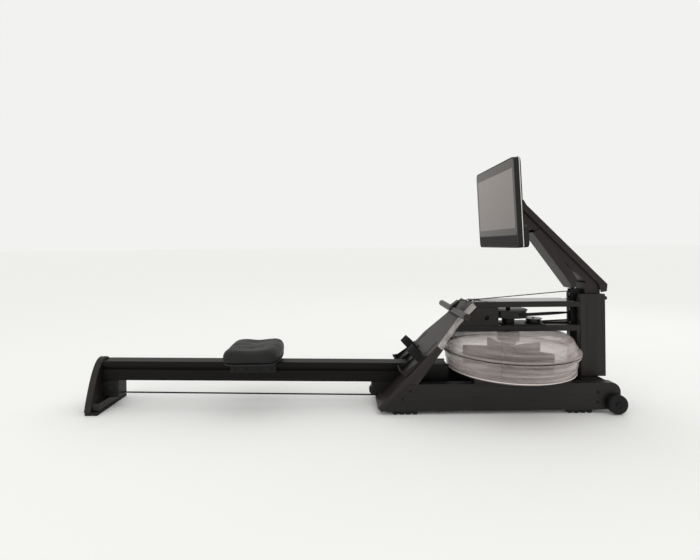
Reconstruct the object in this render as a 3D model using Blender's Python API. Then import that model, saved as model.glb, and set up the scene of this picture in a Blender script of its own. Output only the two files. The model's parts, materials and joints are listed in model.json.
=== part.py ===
"""A water rowing machine: wooden frame, water tank, sliding seat, strap drive and a display on an arm.

Metres, +Z up, +X from the seat towards the tank, +Y to the rower's left. Stations along X are
counted from the foot of the footboard, and the whole machine is centred at the end.
"""

import math

import bmesh
import bpy
from mathutils import Matrix, Vector

# Driving dimensions
GAP = 0.0003                    # between faces that touch
RUNNING = 0.0003                # between a pin and the wall that turns on it
FRAME_WIDTH = 0.280             # over the two base beams
BEAM_THICKNESS = 0.038
BEAM_BOTTOM = 0.0145
BEAM_TOP = 0.121
BEAM_END = 0.967                # station of the beams' tank end
BEAM_CORNER = 0.036
FOOT_LENGTH = 0.098
FOOT_LOBES = 4
FOOT_WIDTH = 0.030
FRONT_FOOT_STATION = 0.060
REAR_FOOT_STATION = 0.757
WHEEL_RADIUS = 0.0385
WHEEL_WIDTH = 0.020
WHEEL_STATION = 0.9437
WHEEL_HEIGHT = 0.0405
WHEEL_SIDE_GAP = 0.005
WHEEL_STUB_RADIUS = 0.006

BOARD_LENGTH = 0.569
BOARD_THICKNESS = 0.023
BOARD_SLOPE = math.radians(45.8)
BOARD_FOOT_HEIGHT = 0.0276
BOARD_TOP_WIDTH = 0.172
BOARD_TAPER_START = 0.344       # distances up the slope
BOARD_TAPER_END = 0.473
WEDGE_DEPTH = 0.028
SLOT_LOW = 0.276
SLOT_HIGH = 0.352
SLOT_WIDTH = 0.007
SLOT_SIDE = 0.100
NOTCH_WIDTH = 0.020
NOTCH_TOP = 0.046

RAIL_WIDTH = 0.070
RAIL_HEIGHT = 0.079
RAIL_SLOPE = math.radians(0.9)
RAIL_TOP_AT_FRONT = 0.1795
RAIL_FRONT = 0.300
RAIL_REAR = -1.1545
RAIL_CHAMFER = 0.004
GROOVE_DROP = 0.027
GROOVE_HEIGHT = 0.0130
GROOVE_DEPTH = 0.0100
SOCKET_WALL = 0.010
SOCKET_BOTTOM = 0.060
SOCKET_TOP = 0.175
SOCKET_END = 0.307
SOCKET_BEAM_START = 0.190
SOCKET_BEAM_END = 0.250

END_PLATE_THICKNESS = 0.028
END_PLATE_GAP = 0.0015           # between the rail's end and the plate, at the rail's slope
END_PLATE_START = RAIL_REAR - END_PLATE_GAP - END_PLATE_THICKNESS
END_PLATE_TOP = 0.210
END_PLATE_FLARE = 0.119
ARCH_STEPS = 12
FOOT_BAR_HALF = 0.104
RUBBER_HEIGHT = 0.0120
FOOT_BAR_DEPTH = 0.028
FOOT_BAR_TOP = 0.050
SUPPORT_LENGTH = 0.069
SUPPORT_BOTTOM = 0.045
SUPPORT_BOSS_RADIUS = 0.014

TANK_STATION = 0.575
TANK_RADIUS = 0.280
TANK_BOTTOM = 0.1418
TANK_SEAM = 0.231
TANK_TOP = 0.3112
TANK_WALL = 0.004
TANK_WAIST = 0.268
TANK_FLOOR_RADIUS = 0.235
TANK_SHOULDER = 0.215
TANK_FLANGE = 0.006
GASKET_THICKNESS = 0.003
TANK_MOUTH = 0.024
PLUG_RADIUS = 0.019
PLUG_SIDE = 0.140
PADDLE_REACH = 0.190
PADDLE_LOW = 0.156
PADDLE_HIGH = 0.236
PADDLE_THICKNESS = 0.008
PADDLES = 5
HUB_RADIUS = 0.034
SHAFT_RADIUS = 0.0095

SPINE_PLATE = 0.029
SPINE_GAP = 0.0554
STRUT_LOW_BOTTOM = 0.3118
STRUT_LOW_TOP = 0.336
STRUT_HIGH_BOTTOM = 0.412
STRUT_HIGH_TOP = 0.433
POST_START = 0.856
POST_END = 0.960
POST_TOP = 0.464
BLOCK_END = 0.514
BLOCK_HOLE_RADIUS = 0.0095
BLOCK_HOLE_STATION = 0.4656
BLOCK_HOLE_HEIGHT = 0.3685
DECK_THICKNESS = 0.003
DECK_START = 0.417
DECK_END = 0.830
REAR_BEAM_START = 0.836
REAR_BEAM_BOTTOM = 0.032

STRAP_WIDTH = 0.0135
STRAP_THICKNESS = 0.002
PULLEY_RADIUS = 0.015
PULLEY_RIM = 0.0022
PULLEY_STATION = 0.853
PULLEY_WIDTH = 0.022
PIN_RADIUS = 0.004
TOP_PULLEY_HEIGHT = 0.457
LOW_PULLEY_HEIGHT = 0.397
GUIDE_STATION = 0.437
GUIDE_HEIGHT = 0.4225
GUIDE_RADIUS = 0.0153
DRUM_RADIUS = 0.074
DRUM_LOW = 0.367
DRUM_HIGH = 0.398
BEARING_RADIUS = 0.026
CORD_RADIUS = 0.0033
SPOOL_STATION = 0.683
SPOOL_RADIUS = 0.030
SPOOL_HEIGHT = 0.349
CORD_LOW_HEIGHT = 0.034
CORD_REAR_HEIGHT = 0.0555
CORD_ROLLER_RADIUS = 0.020
CORD_ROLLER_STATION = -0.006
CORD_ROLLER_WIDTH = 0.024
BRACKET_CHEEK = 0.003

SEAT_LENGTH = 0.232
SEAT_WIDTH = 0.280
SEAT_STATION = -0.515
SEAT_PAD_HEIGHT = 0.052
SEAT_DIP = 0.009
SEAT_LIFT = 0.0098
CARRIAGE_LENGTH = 0.193
CARRIAGE_PLATE = 0.004
CARRIAGE_DROP = 0.043
CARRIAGE_SIDE_GAP = 0.0015
SEAT_ROLLER_RADIUS = 0.0061
SEAT_ROLLER_SPREAD = 0.0775
SEAT_PIN_RADIUS = 0.0028

HANDLE_LENGTH = 0.420
HANDLE_RADIUS = 0.014
HANDLE_ON_BOARD = 0.501
YOKE_WIDTH = 0.034

FOOTREST_LOW = 0.165
FOOTREST_HIGH = 0.285
FOOTREST_INNER = 0.045
FOOTREST_WIDTH = 0.090
FOOTREST_PLATE = 0.005
FOOTREST_WALL = 0.0032
HEEL_HEIGHT = 0.036
SIDE_HEIGHT = 0.020
FOOT_STRAP_LOW = 0.242
FOOT_STRAP_WIDTH = 0.034
FOOT_STRAP_RISE = 0.058
FOOT_STRAP_THICKNESS = 0.0028

DISPLAY_WIDTH = 0.450
DISPLAY_HEIGHT = 0.348
DISPLAY_DEPTH = 0.026
DISPLAY_CHIN_DEPTH = 0.043
DISPLAY_CHIN_HEIGHT = 0.086
DISPLAY_CORNER = 0.020
DISPLAY_TILT = math.radians(2.55)
DISPLAY_FOOT = (0.5309, 0.661)
GLASS_MARGIN = 0.004
GLASS_BOTTOM = 0.050
GLASS_THICKNESS = 0.002
TILT_STATION = 0.606
TILT_HEIGHT = 0.775
TILT_PIN_RADIUS = 0.006
ARM_WIDTH = 0.090
ARM_SHEET = 0.0035
ARM_CORE_WIDTH = 0.072
UPPER_ARM_DEPTH = 0.026
LOWER_ARM_DEPTH = 0.034
ARM_BASE_TOP = 0.500


for old in list(bpy.data.objects):
    bpy.data.objects.remove(old)
machine = bpy.data.objects.new("rowing_machine", None)
bpy.context.scene.collection.objects.link(machine)


def material(name, colour, roughness, metallic=0.0):
    made = bpy.data.materials.new(name)
    made.use_nodes = True
    shader = made.node_tree.nodes["Principled BSDF"]
    shader.inputs["Base Color"].default_value = (*colour, 1.0)
    shader.inputs["Roughness"].default_value = roughness
    shader.inputs["Metallic"].default_value = metallic
    return made


WOOD = material("stained wood", (0.020, 0.016, 0.015), 0.45)
RUBBER = material("black rubber", (0.010, 0.010, 0.010), 0.80)
CLEAR = material("clear polycarbonate", (0.800, 0.740, 0.730), 0.10)
STEEL = material("bright steel", (0.550, 0.550, 0.560), 0.25, 1.0)
BLACK_STEEL = material("black coated steel", (0.020, 0.020, 0.021), 0.40, 0.6)
BLACK_ALLOY = material("black anodised alloy", (0.022, 0.022, 0.021), 0.35, 0.8)
PLASTIC = material("black moulded plastic", (0.018, 0.018, 0.018), 0.50)
GREY_PLASTIC = material("grey moulded plastic", (0.120, 0.110, 0.110), 0.50)
FOAM = material("black foam seat", (0.015, 0.015, 0.015), 0.70)
WEBBING = material("black webbing", (0.012, 0.012, 0.012), 0.85)
GLASS = material("screen glass", (0.160, 0.150, 0.145), 0.15)


def turned_axis(point, across):
    """Moves a point of an outline (u, v) at distance w to X, Y and Z."""
    u, v, w = point
    return {"X": (w, u, v), "Y": (u, w, v), "Z": (u, v, w)}[across]


def prism(outline, low, high, across="Y"):
    """A solid of one outline. Across Y the outline is (x, z), across X (y, z) and across Z (x, y)."""
    form = bmesh.new()
    ends = []
    for level in (low, high):
        ends.append([form.verts.new(turned_axis((u, v, level), across)) for u, v in outline])
    form.faces.new(ends[0])
    form.faces.new(ends[1])
    for i in range(len(outline)):
        j = (i + 1) % len(outline)
        form.faces.new((ends[0][i], ends[0][j], ends[1][j], ends[1][i]))
    bmesh.ops.recalc_face_normals(form, faces=form.faces)
    return form


def block(low, high):
    corners = ((low[0], low[2]), (high[0], low[2]), (high[0], high[2]), (low[0], high[2]))
    return prism(corners, low[1], high[1])


def lathe(profile, centre, across="Z", sides=28):
    """A solid turned from (radius, height) points. A profile that doesn't start on the axis is a ring."""
    form = bmesh.new()
    rings = []
    for radius, height in profile:
        ring = []
        for i in range(sides if radius > 0 else 1):
            turn = math.tau * i / sides
            spot = turned_axis((radius * math.cos(turn), radius * math.sin(turn), height), across)
            ring.append(form.verts.new(Vector(spot) + Vector(centre)))
        rings.append(ring)
    if profile[0][0] > 0:
        rings.append(rings[0])
    for first, second in zip(rings, rings[1:]):
        for i in range(sides):
            j = (i + 1) % sides
            corners = []
            for corner in (first[i % len(first)], first[j % len(first)],
                           second[j % len(second)], second[i % len(second)]):
                if corner not in corners:
                    corners.append(corner)
            form.faces.new(corners)
    bmesh.ops.recalc_face_normals(form, faces=form.faces)
    return form


def rod(radius, low, high, centre, across="Z", sides=20):
    return lathe(((0, low), (radius, low), (radius, high), (0, high)), centre, across, sides)


def ring(radius, bore, low, high, centre, across="Z", sides=24):
    return lathe(((bore, low), (radius, low), (radius, high), (bore, high)), centre, across, sides)


def arc(centre, radius, start, end, steps):
    """Points (u, v) along an arc, in degrees."""
    points = []
    for i in range(steps + 1):
        turn = math.radians(start + (end - start) * i / steps)
        points.append((centre[0] + radius * math.cos(turn), centre[1] + radius * math.sin(turn)))
    return points


def add(name, form, finish, pivot=(0.0, 0.0, 0.0)):
    """Makes the node. The pivot, on the joint's axis for a moving piece, becomes its origin."""
    bmesh.ops.translate(form, verts=form.verts, vec=-Vector(pivot))
    mesh = bpy.data.meshes.new(name)
    form.to_mesh(mesh)
    form.free()
    mesh.materials.append(finish)
    mesh.shade_smooth()
    mesh.set_sharp_from_angle(angle=math.radians(35))
    piece = bpy.data.objects.new(name, mesh)
    bpy.context.scene.collection.objects.link(piece)
    piece.parent = machine
    piece.location = pivot
    return piece


def combine(piece, form, operation):
    """Cuts a form out of the piece, or joins it on."""
    name = f"{piece.name}_{operation.lower()}_{len(piece.modifiers)}"
    helper = add(name, form, piece.data.materials[0])
    helper.hide_render = True
    helper.display_type = "WIRE"
    boolean = piece.modifiers.new(name, "BOOLEAN")
    boolean.operation = operation
    boolean.object = helper


def cut(piece, form):
    combine(piece, form, "DIFFERENCE")


def join(piece, form):
    combine(piece, form, "UNION")


def soften(piece, width, steps=2):
    bevel = piece.modifiers.new("edges", "BEVEL")
    bevel.width = width
    bevel.segments = steps
    bevel.limit_method = "ANGLE"
    bevel.angle_limit = math.radians(30)


def on_board(form):
    """Takes a form from the footboard's own frame, X up its slope and Z out of its face, to the machine's."""
    turn = Matrix.Rotation(-BOARD_SLOPE, 4, "Y")
    bmesh.ops.transform(form, matrix=Matrix.Translation((0, 0, BOARD_FOOT_HEIGHT)) @ turn,
                        verts=form.verts)
    return form


def board_point(up, out):
    x = up * math.cos(BOARD_SLOPE) - out * math.sin(BOARD_SLOPE)
    z = BOARD_FOOT_HEIGHT + up * math.sin(BOARD_SLOPE) + out * math.cos(BOARD_SLOPE)
    return x, z


def behind_board(height, clearance=GAP):
    """Station of the plane just behind the footboard at a height."""
    x, z = board_point(0, -BOARD_THICKNESS - clearance)
    return x + (height - z) / math.tan(BOARD_SLOPE)


def before_board(height):
    x, z = board_point(0, GAP)
    return x + (height - z) / math.tan(BOARD_SLOPE)


def on_rail(form):
    """Takes a form from the rail's own frame, X along it from the footboard's foot and Z = 0 on its top."""
    turn = Matrix.Rotation(RAIL_SLOPE, 4, "Y")
    bmesh.ops.transform(form, matrix=Matrix.Translation((0, 0, RAIL_TOP_AT_FRONT)) @ turn,
                        verts=form.verts)
    return form


def rail_point(along, y, above):
    x = along * math.cos(RAIL_SLOPE) + above * math.sin(RAIL_SLOPE)
    return x, y, RAIL_TOP_AT_FRONT - along * math.sin(RAIL_SLOPE) + above * math.cos(RAIL_SLOPE)


# Base: two beams on edge, on ribbed rubber feet, with wheels at the tank end
beam_inner = FRAME_WIDTH / 2 - BEAM_THICKNESS
beam_centre = FRAME_WIDTH / 2 - BEAM_THICKNESS / 2
for side, sign in (("right", -1), ("left", 1)):
    beam_outline = [
        (behind_board(BEAM_BOTTOM), BEAM_BOTTOM),
        (BEAM_END, BEAM_BOTTOM),
        *arc((BEAM_END - BEAM_CORNER, BEAM_TOP - BEAM_CORNER), BEAM_CORNER, 0, 90, 6),
        (behind_board(BEAM_TOP), BEAM_TOP),
    ]
    inner, outer = sorted((sign * beam_inner, sign * FRAME_WIDTH / 2))
    beam = add(f"{side}_base_beam", prism(beam_outline, inner, outer), WOOD)
    cut(beam, rod(WHEEL_STUB_RADIUS + RUNNING, -BEAM_THICKNESS, BEAM_THICKNESS,
                  (WHEEL_STATION, sign * beam_centre, WHEEL_HEIGHT), "Y"))

    wheel_inner = sign * (FRAME_WIDTH / 2 + WHEEL_SIDE_GAP)
    wheel_outer = wheel_inner + sign * WHEEL_WIDTH
    hub = (WHEEL_STATION, 0, WHEEL_HEIGHT)
    wheel_profile = (
        (0, wheel_inner), (WHEEL_RADIUS - 0.003, wheel_inner),
        (WHEEL_RADIUS, wheel_inner + sign * 0.003), (WHEEL_RADIUS, wheel_outer - sign * 0.003),
        (WHEEL_RADIUS - 0.003, wheel_outer), (0.014, wheel_outer),
        (0.012, wheel_outer - sign * 0.003), (0, wheel_outer - sign * 0.003))
    wheel = add(f"{side}_wheel", lathe(wheel_profile, hub, "Y", 32), RUBBER, hub)
    stub_ends = sorted((sign * beam_inner, wheel_inner + sign * 0.005))
    join(wheel, rod(WHEEL_STUB_RADIUS, *stub_ends, hub, "Y"))

    lobe = FOOT_LENGTH / (FOOT_LOBES * 1.3 - 0.3)
    for place, station in (("front", FRONT_FOOT_STATION), ("rear", REAR_FOOT_STATION)):
        foot_outline = [(station, BEAM_BOTTOM - GAP)]
        for i in range(FOOT_LOBES):
            start = station + i * lobe * 1.3
            foot_outline += [(start, lobe * 0.35), (start + lobe * 0.10, lobe * 0.10)]
            foot_outline += [(start + lobe * 0.30, 0), (start + lobe * 0.70, 0)]
            foot_outline += [(start + lobe * 0.90, lobe * 0.10), (start + lobe, lobe * 0.35)]
            if i < FOOT_LOBES - 1:
                foot_outline += [(start + lobe, BEAM_BOTTOM - 0.004),
                                 (start + lobe * 1.3, BEAM_BOTTOM - 0.004)]
        foot_outline.append((station + FOOT_LENGTH, BEAM_BOTTOM - GAP))
        foot_sides = (sign * beam_centre - FOOT_WIDTH / 2, sign * beam_centre + FOOT_WIDTH / 2)
        add(f"{side}_{place}_foot", prism(foot_outline, *foot_sides), RUBBER)

# Footboard: one sloping board, narrower at the top, with wedges that carry it on the beams
board_half = FRAME_WIDTH / 2
board_top_half = BOARD_TOP_WIDTH / 2
board_outline = [
    (0, -board_half), (BOARD_TAPER_START, -board_half), (BOARD_TAPER_END, -board_top_half),
    (BOARD_LENGTH, -board_top_half), (BOARD_LENGTH, board_top_half),
    (BOARD_TAPER_END, board_top_half), (BOARD_TAPER_START, board_half), (0, board_half)]
footboard = add("footboard", on_board(prism(board_outline, -BOARD_THICKNESS, 0, "Z")), WOOD)
wedge_top = board_point(BOARD_TAPER_START, -BOARD_THICKNESS)[1]
wedge_foot = behind_board(BEAM_TOP + GAP, 0)
wedge_overlap = 0.002
for sign in (-1, 1):
    wedge_outline = [
        (wedge_foot - wedge_overlap, BEAM_TOP + GAP),
        (wedge_foot + WEDGE_DEPTH / math.sin(BOARD_SLOPE), BEAM_TOP + GAP),
        (behind_board(wedge_top, 0) + 0.007, wedge_top),
        (behind_board(wedge_top, 0) - wedge_overlap, wedge_top)]
    inner, outer = sorted((sign * (beam_inner + 0.001), sign * (FRAME_WIDTH / 2 - 0.0005)))
    join(footboard, prism(wedge_outline, inner, outer))
rail_slot = RAIL_WIDTH / 2 + 0.0015
cut(footboard, on_rail(block((-0.10, -rail_slot, -RAIL_HEIGHT - 0.002), (RAIL_FRONT, rail_slot, 0.002))))
cut(footboard, block((-0.02, -NOTCH_WIDTH / 2, 0), (0.08, NOTCH_WIDTH / 2, NOTCH_TOP)))
for sign in (-1, 1):
    slot_low = sign * SLOT_SIDE - SLOT_WIDTH / 2
    cut(footboard, on_board(block((SLOT_LOW, slot_low, -0.05), (SLOT_HIGH, slot_low + SLOT_WIDTH, 0.01))))

# Footrests: a sliding heel cup with a strap over the foot, one on each side
for side, sign in (("right", -1), ("left", 1)):
    inner, outer = sorted((sign * FOOTREST_INNER, sign * (FOOTREST_INNER + FOOTREST_WIDTH)))
    plate_top = GAP + FOOTREST_PLATE
    footrest = add(f"{side}_footrest",
                   on_board(block((FOOTREST_LOW, inner, GAP), (FOOTREST_HIGH, outer, plate_top))), PLASTIC)
    heel_low = (FOOTREST_LOW, inner, GAP + 0.001)
    join(footrest, on_board(block(heel_low, (FOOTREST_LOW + FOOTREST_WALL, outer, HEEL_HEIGHT))))
    side_outline = [(FOOTREST_LOW, GAP + 0.001), (FOOT_STRAP_LOW - 0.002, GAP + 0.001),
                    (FOOT_STRAP_LOW - 0.002, plate_top + 0.004), (FOOTREST_LOW + 0.02, SIDE_HEIGHT),
                    (FOOTREST_LOW, HEEL_HEIGHT)]
    join(footrest, on_board(prism(side_outline, inner, inner + FOOTREST_WALL)))
    join(footrest, on_board(prism(side_outline, outer - FOOTREST_WALL, outer)))

    middle = sign * (FOOTREST_INNER + FOOTREST_WIDTH / 2)
    strap_half = FOOTREST_WIDTH / 2
    strap_base = plate_top + GAP
    band = []
    for i in range(13):
        turn = math.pi * i / 12
        band.append((middle + strap_half * math.cos(turn), strap_base + FOOT_STRAP_RISE * math.sin(turn)))
    for i in range(12, -1, -1):
        turn = math.pi * i / 12
        reach = strap_half - FOOT_STRAP_THICKNESS
        rise = FOOT_STRAP_RISE - FOOT_STRAP_THICKNESS
        band.append((middle + reach * math.cos(turn), strap_base + rise * math.sin(turn)))
    add(f"{side}_foot_strap",
        on_board(prism(band, FOOT_STRAP_LOW, FOOT_STRAP_LOW + FOOT_STRAP_WIDTH, "X")), WEBBING)

# Rail: one extrusion with a roller groove along each side, held in a socket behind the board
groove_high = -GROOVE_DROP + GROOVE_HEIGHT / 2
groove_low = -GROOVE_DROP - GROOVE_HEIGHT / 2
rail_half = RAIL_WIDTH / 2
right_side = [(-rail_half, -RAIL_HEIGHT), (-rail_half, groove_low),
              (-rail_half + GROOVE_DEPTH, groove_low),
              (-rail_half + GROOVE_DEPTH, groove_high), (-rail_half, groove_high),
              (-rail_half, -RAIL_CHAMFER), (-rail_half + RAIL_CHAMFER, 0)]
rail_outline = right_side + [(-y, z) for y, z in reversed(right_side)]
add("monorail", on_rail(prism(rail_outline, RAIL_REAR, RAIL_FRONT, "X")), BLACK_ALLOY)

socket_half = rail_half + GAP + SOCKET_WALL
socket_outline = [(behind_board(SOCKET_BOTTOM), SOCKET_BOTTOM), (SOCKET_END, SOCKET_BOTTOM),
                  (SOCKET_END, SOCKET_TOP), (behind_board(SOCKET_TOP), SOCKET_TOP)]
rail_socket = add("rail_socket", prism(socket_outline, -socket_half, socket_half), BLACK_STEEL)
cross_low = (SOCKET_BEAM_START, -beam_inner + GAP, CORD_LOW_HEIGHT + CORD_RADIUS + 0.004)
join(rail_socket, block(cross_low, (SOCKET_BEAM_END, beam_inner - GAP, SOCKET_BOTTOM + 0.002)))
cut(rail_socket, on_rail(block((-0.10, -rail_half - GAP, -RAIL_HEIGHT - GAP),
                               (0.50, rail_half + GAP, 0.05))))

bracket_half = rail_half - 0.001
bracket_top = rail_point(-0.02, 0, -RAIL_HEIGHT)[2] - 0.0015
bracket_outline = [(CORD_ROLLER_STATION - 0.010, bracket_top), (CORD_ROLLER_STATION - 0.010, 0.050),
                   (before_board(0.050), 0.050), (before_board(bracket_top), bracket_top)]
front_bracket = add("rail_front_bracket", prism(bracket_outline, -bracket_half, bracket_half), BLACK_STEEL)
roller_centre = (CORD_ROLLER_STATION, 0, CORD_LOW_HEIGHT + CORD_RADIUS + GAP + CORD_ROLLER_RADIUS)
cheek = CORD_ROLLER_WIDTH / 2 + 0.001
cut(front_bracket, block((-0.05, -cheek, 0.03),
                         (0.05, cheek, roller_centre[2] + CORD_ROLLER_RADIUS + 0.003)))
join(front_bracket, rod(PIN_RADIUS, -cheek - 0.004, cheek + 0.004, roller_centre, "Y", 16))
half_roller = CORD_ROLLER_WIDTH / 2
add("bungee_front_roller",
    ring(CORD_ROLLER_RADIUS, PIN_RADIUS + RUNNING, -half_roller, half_roller, roller_centre, "Y", 32),
    PLASTIC, roller_centre)

# Rear end: a flared upright board with a foot bar, rubber sole and a clip that holds the rail
plate_end = END_PLATE_START + END_PLATE_THICKNESS
arch_low = RUBBER_HEIGHT + GAP
arch_side = []
for step in range(ARCH_STEPS, -1, -1):
    share = step / ARCH_STEPS
    arch_side.append((END_PLATE_FLARE * share, END_PLATE_TOP - (END_PLATE_TOP - arch_low) * share ** 2))
arch_outline = arch_side + [(-across, height) for across, height in reversed(arch_side[:-1])]
end_plate = add("rear_end_plate", prism(arch_outline, END_PLATE_START, plate_end, "X"), WOOD)
bar_low = (plate_end - 0.004, -FOOT_BAR_HALF, arch_low)
bar_high = (plate_end + FOOT_BAR_DEPTH - 0.002, FOOT_BAR_HALF, FOOT_BAR_TOP - 0.006)
join(end_plate, block(bar_low, bar_high))
sole_low = (END_PLATE_START + 0.003, -END_PLATE_FLARE + 0.002, 0)
add("rear_rubber_sole", block(sole_low, (bar_high[0] + 0.001, END_PLATE_FLARE - 0.002, RUBBER_HEIGHT)),
    RUBBER)
support_start = plate_end + GAP
support_end = plate_end + SUPPORT_LENGTH
support_top = rail_point(RAIL_REAR + SUPPORT_LENGTH, 0, -RAIL_HEIGHT)[2] - 0.0015
support_outline = [(support_start, FOOT_BAR_TOP), (bar_high[0] + 0.003, FOOT_BAR_TOP),
                   (bar_high[0] + 0.003, SUPPORT_BOTTOM), (support_end, SUPPORT_BOTTOM),
                   (support_end, support_top), (support_start, support_top)]
rail_support = add("rear_rail_support", prism(support_outline, -bracket_half, bracket_half), BLACK_STEEL)
boss_centre = (support_end - 0.030, 0, 0.085)
join(rail_support, rod(SUPPORT_BOSS_RADIUS, -bracket_half - 0.006, bracket_half + 0.006, boss_centre,
                       "Y", 20))

# Seat: a carriage over the rail on four rollers that run in its grooves
carriage_half = CARRIAGE_LENGTH / 2
side_low = rail_half + CARRIAGE_SIDE_GAP
side_high = side_low + CARRIAGE_PLATE
seat_pivot = rail_point(SEAT_STATION, 0, 0)
plate_low = 0.0015
carriage_outline = [(-side_high, -CARRIAGE_DROP), (-side_low, -CARRIAGE_DROP), (-side_low, plate_low),
                    (side_low, plate_low), (side_low, -CARRIAGE_DROP), (side_high, -CARRIAGE_DROP),
                    (side_high, plate_low + CARRIAGE_PLATE), (-side_high, plate_low + CARRIAGE_PLATE)]
carriage_ends = (SEAT_STATION - carriage_half, SEAT_STATION + carriage_half)
carriage = add("seat_carriage", on_rail(prism(carriage_outline, *carriage_ends, "X")), BLACK_STEEL,
               seat_pivot)
roller_inner = rail_half - GROOVE_DEPTH + 0.001
roller_outer = rail_half + 0.0004
for place, along in (("rear", -SEAT_ROLLER_SPREAD), ("front", SEAT_ROLLER_SPREAD)):
    for side, sign in (("right", -1), ("left", 1)):
        centre = rail_point(SEAT_STATION + along, 0, -GROOVE_DROP)
        pin_ends = sorted((sign * roller_inner, sign * (side_high - 0.001)))
        join(carriage, rod(SEAT_PIN_RADIUS, *pin_ends, centre, "Y", 12))
        ends = sorted((sign * roller_inner, sign * roller_outer))
        add(f"seat_roller_{place}_{side}",
            ring(SEAT_ROLLER_RADIUS, SEAT_PIN_RADIUS + RUNNING, *ends, centre, "Y", 20), PLASTIC, centre)
pad_low = SEAT_LIFT
pad_top = pad_low + SEAT_PAD_HEIGHT
pad_half = SEAT_LENGTH / 2
pad_outline = [(SEAT_STATION - pad_half + 0.012, pad_low), (SEAT_STATION + pad_half - 0.040, pad_low),
               (SEAT_STATION + pad_half - 0.004, pad_low + 0.022), (SEAT_STATION + pad_half,
                                                                    pad_top - 0.012),
               (SEAT_STATION + pad_half - 0.010, pad_top), (SEAT_STATION, pad_top - SEAT_DIP),
               (SEAT_STATION - pad_half + 0.010, pad_top), (SEAT_STATION - pad_half, pad_top - 0.012),
               (SEAT_STATION - pad_half, pad_low + 0.014)]
seat_pad = add("seat_pad", on_rail(prism(pad_outline, -SEAT_WIDTH / 2, SEAT_WIDTH / 2)), FOAM, seat_pivot)
soften(seat_pad, 0.006, 2)

# Tank: two clear shells bolted at a flange, on a cradle board across the beams
tank = (TANK_STATION, 0, 0)
cradle_half = FRAME_WIDTH / 2
cradle_low = (TANK_STATION - 0.19, -cradle_half, BEAM_TOP + GAP)
add("tank_cradle", block(cradle_low, (TANK_STATION + 0.19, cradle_half, TANK_BOTTOM - GAP)), WOOD)
rim_low = TANK_SEAM - GASKET_THICKNESS / 2 - GAP
lower_outside = [(0, TANK_BOTTOM), (TANK_FLOOR_RADIUS, TANK_BOTTOM),
                 (TANK_FLOOR_RADIUS + 0.015, TANK_BOTTOM + 0.005),
                 (TANK_WAIST - 0.008, TANK_BOTTOM + 0.018), (TANK_WAIST - 0.003, TANK_BOTTOM + 0.040),
                 (TANK_WAIST, rim_low - TANK_FLANGE), (TANK_RADIUS, rim_low - TANK_FLANGE), (TANK_RADIUS,
                                                                                             rim_low)]
lower_inside = [(TANK_WAIST - TANK_WALL, rim_low), (TANK_WAIST - TANK_WALL - 0.003, TANK_BOTTOM + 0.042),
                (TANK_WAIST - TANK_WALL - 0.008, TANK_BOTTOM + 0.020),
                (TANK_FLOOR_RADIUS + 0.010, TANK_BOTTOM + TANK_WALL + 0.004),
                (TANK_FLOOR_RADIUS - 0.003, TANK_BOTTOM + TANK_WALL), (0, TANK_BOTTOM + TANK_WALL)]
add("tank_lower_shell", lathe(lower_outside + lower_inside, tank, sides=48), CLEAR)
gasket_ends = (TANK_SEAM - GASKET_THICKNESS / 2, TANK_SEAM + GASKET_THICKNESS / 2)
add("tank_gasket", ring(TANK_RADIUS - 0.001, TANK_WAIST - TANK_WALL, *gasket_ends, tank, sides=48), RUBBER)
rim_high = TANK_SEAM + GASKET_THICKNESS / 2 + GAP
upper_outside = [(TANK_RADIUS, rim_high), (TANK_RADIUS, rim_high + TANK_FLANGE),
                 (TANK_WAIST, rim_high + TANK_FLANGE),
                 (TANK_WAIST - 0.004, rim_high + 0.032), (TANK_WAIST - 0.016, rim_high + 0.051),
                 (TANK_WAIST - 0.032, rim_high + 0.062), (TANK_SHOULDER, TANK_TOP - 0.008),
                 (TANK_SHOULDER - 0.06, TANK_TOP), (TANK_MOUTH, TANK_TOP)]
upper_inside = [(radius - TANK_WALL * 0.8, height - TANK_WALL * 0.8) for radius,
                height in upper_outside[3:7]]
upper_profile = (upper_outside + [(TANK_MOUTH, TANK_TOP - TANK_WALL),
                                  (TANK_SHOULDER - 0.06, TANK_TOP - TANK_WALL)]
                 + list(reversed(upper_inside)) + [(TANK_WAIST - TANK_WALL, rim_high)])
upper_shell = add("tank_upper_shell", lathe(upper_profile, tank, sides=48), CLEAR)
plug_centre = (TANK_STATION, PLUG_SIDE, 0)
cut(upper_shell, rod(PLUG_RADIUS + 0.0006, TANK_TOP - 0.02, TANK_TOP + 0.02, plug_centre))
plug_profile = ((0, TANK_TOP - 0.006), (PLUG_RADIUS, TANK_TOP - 0.006), (PLUG_RADIUS, TANK_TOP + GAP),
                (PLUG_RADIUS + 0.004, TANK_TOP + GAP), (PLUG_RADIUS + 0.004, TANK_TOP + 0.004),
                (0.008, TANK_TOP + 0.006), (0.008, TANK_TOP + 0.014), (0, TANK_TOP + 0.014))
add("tank_plug", lathe(plug_profile, plug_centre), PLASTIC, plug_centre)

drive_bore = SHAFT_RADIUS + RUNNING
shaft_top = DRUM_HIGH + 0.006
hub_profile = ((0, PADDLE_LOW - 0.004), (HUB_RADIUS, PADDLE_LOW - 0.004), (HUB_RADIUS, PADDLE_HIGH - 0.02),
               (0.020, PADDLE_HIGH + 0.004), (SHAFT_RADIUS, PADDLE_HIGH + 0.004), (SHAFT_RADIUS,
                                                                                   shaft_top),
               (0, shaft_top))
impeller = add("impeller", lathe(hub_profile, tank), GREY_PLASTIC, tank)
for i in range(PADDLES):
    paddle = block((0.02, -PADDLE_THICKNESS / 2, PADDLE_LOW),
                   (PADDLE_REACH, PADDLE_THICKNESS / 2, PADDLE_HIGH))
    spot = Matrix.Translation(tank) @ Matrix.Rotation(math.tau * (i + 0.35) / PADDLES, 4, "Z")
    bmesh.ops.transform(paddle, matrix=spot, verts=paddle.verts)
    join(impeller, paddle)

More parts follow.
